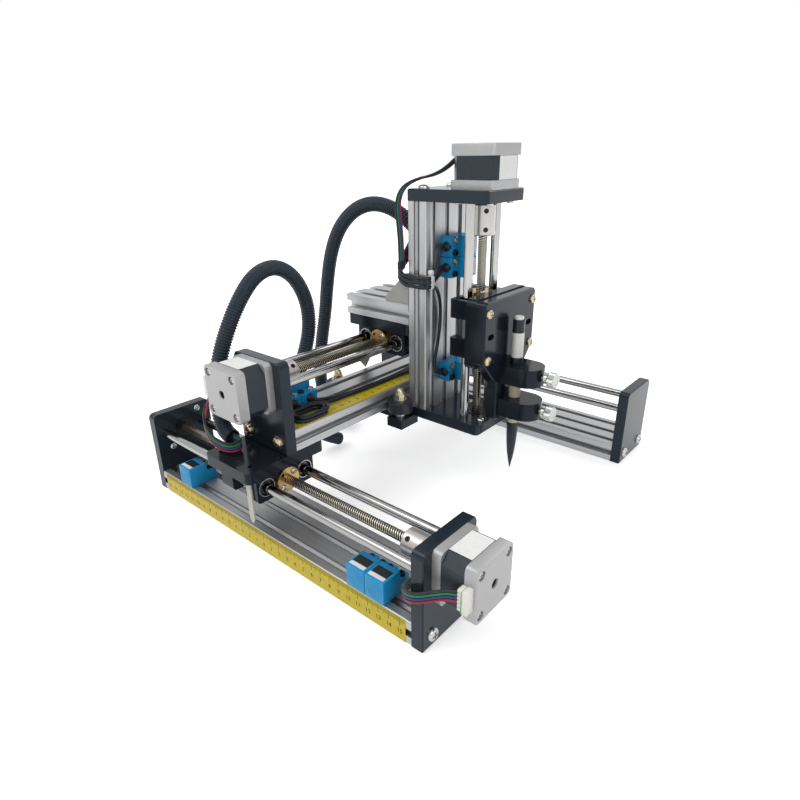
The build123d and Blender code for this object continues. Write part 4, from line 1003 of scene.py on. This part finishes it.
# Hoses. Black corrugated conduit that guards the cables. Each ring is moulded on; here one ring
# is shaped and repeated along the hose's line. They end bare on the table beside the gantry bar.
hose_radius, hose_pitch, hose_groove, hose_wall = 0.007, 0.0025, 0.0009, 0.0008
hose_black = finish(
    "hose black", (0.014, 0.021, 0.031), (0.024, 0.034, 0.047), 0.36, 1200,
    bump=0.05, gloss=0.25, tint=cool_sheen
)
hose_front_route = [
    (-0.048, -0.016, 0.0873), (-0.059, -0.0155, 0.0883), (-0.067, -0.014, 0.101),
    (-0.068, -0.012, 0.123), (-0.067, -0.009, 0.146), (-0.068, 0.003, 0.171),
    (-0.07, 0.022, 0.197), (-0.073, 0.043, 0.214), (-0.077, 0.068, 0.217),
    (-0.079, 0.09, 0.204), (-0.079, 0.103, 0.179), (-0.078, 0.103, 0.152),
    (-0.081, 0.097, 0.127), (-0.09, 0.093, 0.103), (-0.096, 0.094, 0.076),
    (-0.096, 0.102, 0.048), (-0.094, 0.12, 0.023), (-0.093, 0.147, 0.008),
]
hose_rear_route = [
    (0.0139, 0.174, 0.241), (0.002, 0.174, 0.241), (-0.01, 0.171, 0.252),
    (-0.026, 0.167, 0.262), (-0.046, 0.163, 0.265), (-0.067, 0.16, 0.258),
    (-0.086, 0.157, 0.24), (-0.099, 0.156, 0.214), (-0.108, 0.157, 0.183),
    (-0.114, 0.157, 0.15), (-0.117, 0.151, 0.117), (-0.119, 0.147, 0.084),
    (-0.119, 0.151, 0.052), (-0.119, 0.167, 0.024), (-0.118, 0.195, 0.008),
]


def line(name, route):
    """A smooth curve that has the route's points as its control points."""
    curve = bpy.data.curves.new(name, "CURVE")
    curve.dimensions = "3D"
    curve.resolution_u = 12
    spline = curve.splines.new("NURBS")
    spline.points.add(len(route) - 1)
    for point, place in zip(spline.points, route):
        point.co = (*place, 1)
    spline.order_u = 3
    spline.use_endpoint_u = True
    drawn = bpy.data.objects.new(name, curve)
    bpy.context.scene.collection.objects.link(drawn)
    bpy.context.view_layer.update()
    return drawn


def followed(drawn):
    """The points that a curve with no bevel runs through, in order, and its length."""
    mesh = bpy.data.meshes.new_from_object(drawn)
    places = [vertex.co.copy() for vertex in mesh.vertices]
    bpy.data.meshes.remove(mesh)
    return places, sum((b - a).length for a, b in zip(places, places[1:]))


for name, route, body in (
    ("hose_front", hose_front_route, "x_gantry"), ("hose_rear", hose_rear_route, "cross_slide")
):
    track = line(name + "_line", route)
    places, long = followed(track)
    rings = int(long / hose_pitch)
    ring_long = long / rings
    bpy.ops.mesh.primitive_cylinder_add(
        vertices=24, radius=hose_radius, depth=ring_long, end_fill_type="NOTHING",
        location=(ring_long / 2, 0, 0), rotation=(0, math.pi / 2, 0)
    )
    hose = bpy.context.object
    hose.name = name + "_conduit"
    bpy.ops.object.transform_apply(location=True, rotation=True)

    def lengthwise(edge):
        start, end = (hose.data.vertices[number].co.x for number in edge.vertices)
        return abs(end - start) > same_point

    rework(hose, "EDGE", lengthwise, bpy.ops.mesh.subdivide, number_cuts=5)
    for vertex in hose.data.vertices:
        share = vertex.co.x / ring_long
        high = 0.5 - 0.5 * math.cos(2 * math.pi * share)
        angle = math.atan2(vertex.co.z, vertex.co.y)
        radius = hose_radius - hose_groove * (1 - min(1, high * 1.6))
        vertex.co.y, vertex.co.z = radius * math.cos(angle), radius * math.sin(angle)
    row = hose.modifiers.new("rings", "ARRAY")
    row.count = rings
    row.use_merge_vertices = True
    row.merge_threshold = 0.0001
    bend = hose.modifiers.new("bend", "CURVE")
    bend.object = track
    bpy.ops.object.modifier_apply(modifier="rings")
    bpy.ops.object.modifier_apply(modifier="bend")
    mode("EDIT")
    close_up()
    bpy.ops.object.shade_smooth()
    wall = hose.modifiers.new("wall", "SOLIDIFY")
    wall.thickness = hose_wall
    wall.offset = -1
    bpy.ops.object.modifier_apply(modifier="wall")
    hose.data.materials.append(hose_black)
    bpy.data.objects.remove(track)
    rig.ride(hose, body)
    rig.replaces(hose, name)
    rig.slot(hose, "cord_black")
    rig.cord(
        hose, exit=route[0], length=long, diameter=2 * hose_radius, far_end="bare",
        stiffness="stiff", lay="loose", path=places
    )

# Motor leads. Four thin stranded wires side by side, black, green, blue and red, from the
# motor's socket; each set goes into what carries it on.
lead_radius, lead_pitch = 0.0009, 0.0024
stacked, abreast = Vector((0, 0, -lead_pitch)), Vector((0, -0.8 * lead_pitch, 0))
lead_finishes = {
    colour: finish(
        "lead " + colour, shade, [min(1, 1.3 * part) for part in shade], 0.38, 900,
        bump=0.04, gloss=0.3
    )
    for colour, shade in (
        ("black", (0.015, 0.017, 0.02)), ("green", (0.02, 0.16, 0.06)),
        ("blue", (0.015, 0.05, 0.17)), ("red", (0.28, 0.012, 0.025)),
    )
}
x_lead_route = [
    (0.1937, -0.0247, 0.058), (0.187, -0.0255, 0.057), (0.178, -0.03, 0.0535),
    (0.168, -0.0355, 0.0495), (0.157, -0.034, 0.0455), (0.149, -0.026, 0.0415),
    (0.147, -0.014, 0.037),
]
y_lead_route = [
    (-0.051, -0.028, 0.1289), (-0.0545, -0.033, 0.119), (-0.055, -0.037, 0.107),
    (-0.05, -0.036, 0.095), (-0.041, -0.033, 0.088), (-0.033, -0.028, 0.0865),
    (-0.031, -0.02, 0.087), (-0.037, -0.0155, 0.087), (-0.0468, -0.016, 0.0873),
]
z_lead_route = [
    (0.0474, 0.168, 0.303), (0.042, 0.163, 0.296), (0.032, 0.156, 0.29),
    (0.02, 0.149, 0.2875), (0.009, 0.1435, 0.281), (0.005, 0.141, 0.268),
    (0.007, 0.141, 0.252), (0.0085, 0.1415, 0.234), (0.009, 0.141, 0.2115),
]


def wire(name, route, radius, made, body, node, lay="loose"):
    """A round wire or cable along a route, closed at both ends."""
    drawn = line(name, route)
    _, long = followed(drawn)
    drawn.data.bevel_depth = radius
    drawn.data.bevel_resolution = 3
    drawn.data.use_fill_caps = True
    drawn.data.materials.append(made)
    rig.ride(drawn, body)
    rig.replaces(drawn, node)
    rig.slot(drawn, "cord_black")
    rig.cord(
        drawn, exit=route[0], length=long, diameter=2 * radius, far_end="object",
        stiffness="limp", lay=lay
    )


for axis, route, step, first_step, body, node in (
    ("x", x_lead_route, stacked, stacked, "base", "x_motor_leads"),
    ("y", y_lead_route, stacked, abreast, "x_gantry", "y_motor_leads"),
    ("z", z_lead_route, -abreast, -abreast, "cross_slide", "z_cables"),
):
    for number, (colour, made) in enumerate(lead_finishes.items()):
        moved = [
            Vector(point) + (number - 1.5) * (step if place else first_step)
            for place, point in enumerate(route)
        ]
        wire(f"{axis}_lead_{colour}", moved, lead_radius, made, body, node)

# Z sensor cables. Black round cables from the glands on the sensors' tails, led down the column's
# corner, tied there with a white strap and taken round the bar's back to the rear hose. A short
# sleeve takes the Z motor's leads to them.
cable_radius = 0.0016
cable_black = finish(
    "cable black", (0.01, 0.014, 0.02), (0.018, 0.024, 0.033), 0.34, 900, bump=0.04, gloss=0.25
)


def past_strap(height):
    """The way of one cable from the strap round the column's corner."""
    return [
        (0.0373, 0.142, height), (0.0318, 0.1389, height), (0.023, 0.1396, height),
        (0.0135, 0.1403, height), (0.0065, 0.1413, height + 0.0038),
    ]


z_cable_routes = [
    [
        (0.0397, 0.1657, 0.2315), (0.0396, 0.16, 0.2308), (0.0395, 0.156, 0.2258),
        (0.0394, 0.1545, 0.2185), (0.0394, 0.1525, 0.2125), (0.0396, 0.1483, 0.2073),
        *past_strap(0.2065), (0.0015, 0.146, 0.214), (0.0005, 0.1525, 0.2205),
        (0.0015, 0.1595, 0.23), (0.004, 0.1651, 0.24),
    ],
    [
        (0.0397, 0.1657, 0.213), (0.0396, 0.16, 0.2118), (0.0395, 0.1545, 0.2066),
        (0.0396, 0.1483, 0.2032), *past_strap(0.2026), (0.0015, 0.146, 0.21),
        (0.0005, 0.1533, 0.2165), (0.0015, 0.1608, 0.2255), (0.004, 0.1677, 0.2347),
    ],
    [
        (0.0397, 0.1657, 0.1144), (0.0393, 0.159, 0.1146), (0.0382, 0.1535, 0.1195),
        (0.037, 0.1538, 0.128), (0.0364, 0.1585, 0.14), (0.0362, 0.1615, 0.152),
        (0.0362, 0.1633, 0.166), (0.0364, 0.1632, 0.178), (0.037, 0.16, 0.189),
        (0.0382, 0.155, 0.1962), (0.0396, 0.1483, 0.1992), *past_strap(0.1987),
        (0.0015, 0.146, 0.206), (0.0005, 0.1542, 0.2125), (0.0015, 0.163, 0.2215),
        (0.004, 0.173, 0.2321),
    ],
]
for number, route in enumerate(z_cable_routes):
    wire(
        f"z_sensor_cable_{number}", route, cable_radius, cable_black, "cross_slide", "z_cables"
    )
gland = turned([
    (0, -0.001), (0.0042, -0.001), (0.0042, 0.001), (0.0034, 0.0017), (0.002, 0.004), (0, 0.004)
], 24)
for bar, body in (("y", "x_gantry"), ("z", "cross_slide")):
    places = [
        seat(bar, along, side + sensor_long, bar_face + tail_high / 2, "side")
        for along, side in sensor_places[bar]
    ]
    fit(set_out(gland, places), bar + "_sensor_glands", cable_black, body, "cord_black")
throw_away(gland)
sleeve = block((0.0072, 0.1367, 0.2125), (0.0108, 0.1453, 0.2195), 0.0012, 3)
fit(sleeve, "z_lead_sleeve", cable_black, "cross_slide", "cord_black")

# Strap. A white nylon tie, its band drawn tight round the three cables at the column's corner and
# its round head standing above them.
tie_white = finish("tie white", (0.68, 0.68, 0.67), (0.78, 0.78, 0.77), 0.4, 900)
band = block((-0.0025, -0.0064, -0.0018), (0.0025, 0.0064, 0.0018), 0.0023, 5, True)
cut(band, block((-0.0018, -0.0057, -0.003), (0.0018, 0.0057, 0.003), 0.0016, 4, True))
head = block((-0.0023, 0.0062, -0.0023), (0.0023, 0.0106, 0.0023), 0.0014, 4)
strap = joined([band, head])
strap.data.transform(at(0.0385, 0.146, 0.2032) @ upright)
fit(strap, "cable_strap", tie_white, "cross_slide", "cord_black")

# Y sensor cables. One is laid in a flat coil of three turns beside the sensors. Both then run along
# the bar beside its ruler and drop into the bar's middle slot under the cross slide.
coil_x, coil_y, coil_straight = -0.009, 0.037, 0.008
wide, narrow, low, high = 0.0104, 0.0072, 0.102, 0.1053
coil_turns, per_turn = 3, 16
coil_stations = [
    (0, wide, high), (0.6, wide, high), (0.77, narrow, high), (1.4, narrow, high),
    (1.6, narrow, low), (2.3, narrow, low), (2.47, wide, low), (coil_turns, wide, low),
]
coil_route = [(-0.0283, 0.0365, 0.1057), (-0.0245, 0.0365, 0.1057), (-0.0196, 0.0385, 0.1054)]
for step in range(coil_turns * per_turn):
    turn = (step + 0.5) / per_turn
    for (begun, near, under), (done, far, over) in zip(coil_stations, coil_stations[1:]):
        if begun <= turn < done:
            share = (turn - begun) / (done - begun)
            radius, height = near + share * (far - near), under + share * (over - under)
    angle = math.pi - 2 * math.pi * turn
    side = math.copysign(coil_straight, math.sin(angle))
    x, y = coil_x + radius * math.cos(angle), coil_y + side + radius * math.sin(angle)
    coil_route.append((x, y, height))
coil_route += [
    (-0.018, 0.052, 0.102), (-0.0172, 0.062, 0.1019), (-0.0158, 0.07, 0.1018),
    (-0.0139, 0.085, 0.1018), (-0.0118, 0.1024, 0.1018), (-0.011, 0.1226, 0.1018),
    (-0.0104, 0.1438, 0.1018), (-0.011, 0.168, 0.1018), (-0.0125, 0.185, 0.1018),
    (-0.015, 0.2, 0.1018), (-0.0205, 0.212, 0.1013), (-0.025, 0.221, 0.0996),
    (-0.026, 0.228, 0.0976),
]
straight_route = [
    (-0.0283, 0.0549, 0.1057), (-0.0245, 0.0549, 0.1057), (-0.0208, 0.057, 0.1055),
    (-0.0194, 0.064, 0.1042), (-0.0188, 0.075, 0.1022), (-0.0172, 0.086, 0.1018),
    (-0.0151, 0.1024, 0.1018), (-0.0143, 0.1226, 0.1018), (-0.0137, 0.1438, 0.1018),
    (-0.0144, 0.16, 0.1018), (-0.016, 0.173, 0.1018), (-0.019, 0.185, 0.1015),
    (-0.024, 0.196, 0.1003), (-0.026, 0.204, 0.098),
]
for name, route, lay in (("coil", coil_route, "coiled"), ("straight", straight_route, "loose")):
    wire(
        f"y_sensor_{name}_cable", route, cable_radius, cable_black, "x_gantry", "y_sensor_coil", lay
    )

# The visual model's box is written beside the CAD model's.
visual_low, visual_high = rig.bounds()
boxes = {
    "cad": [list(cad_low), list(cad_high)],
    "visual": [list(visual_low), list(visual_high)],
}
with open("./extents.json", "w") as sizes:
    json.dump(boxes, sizes)
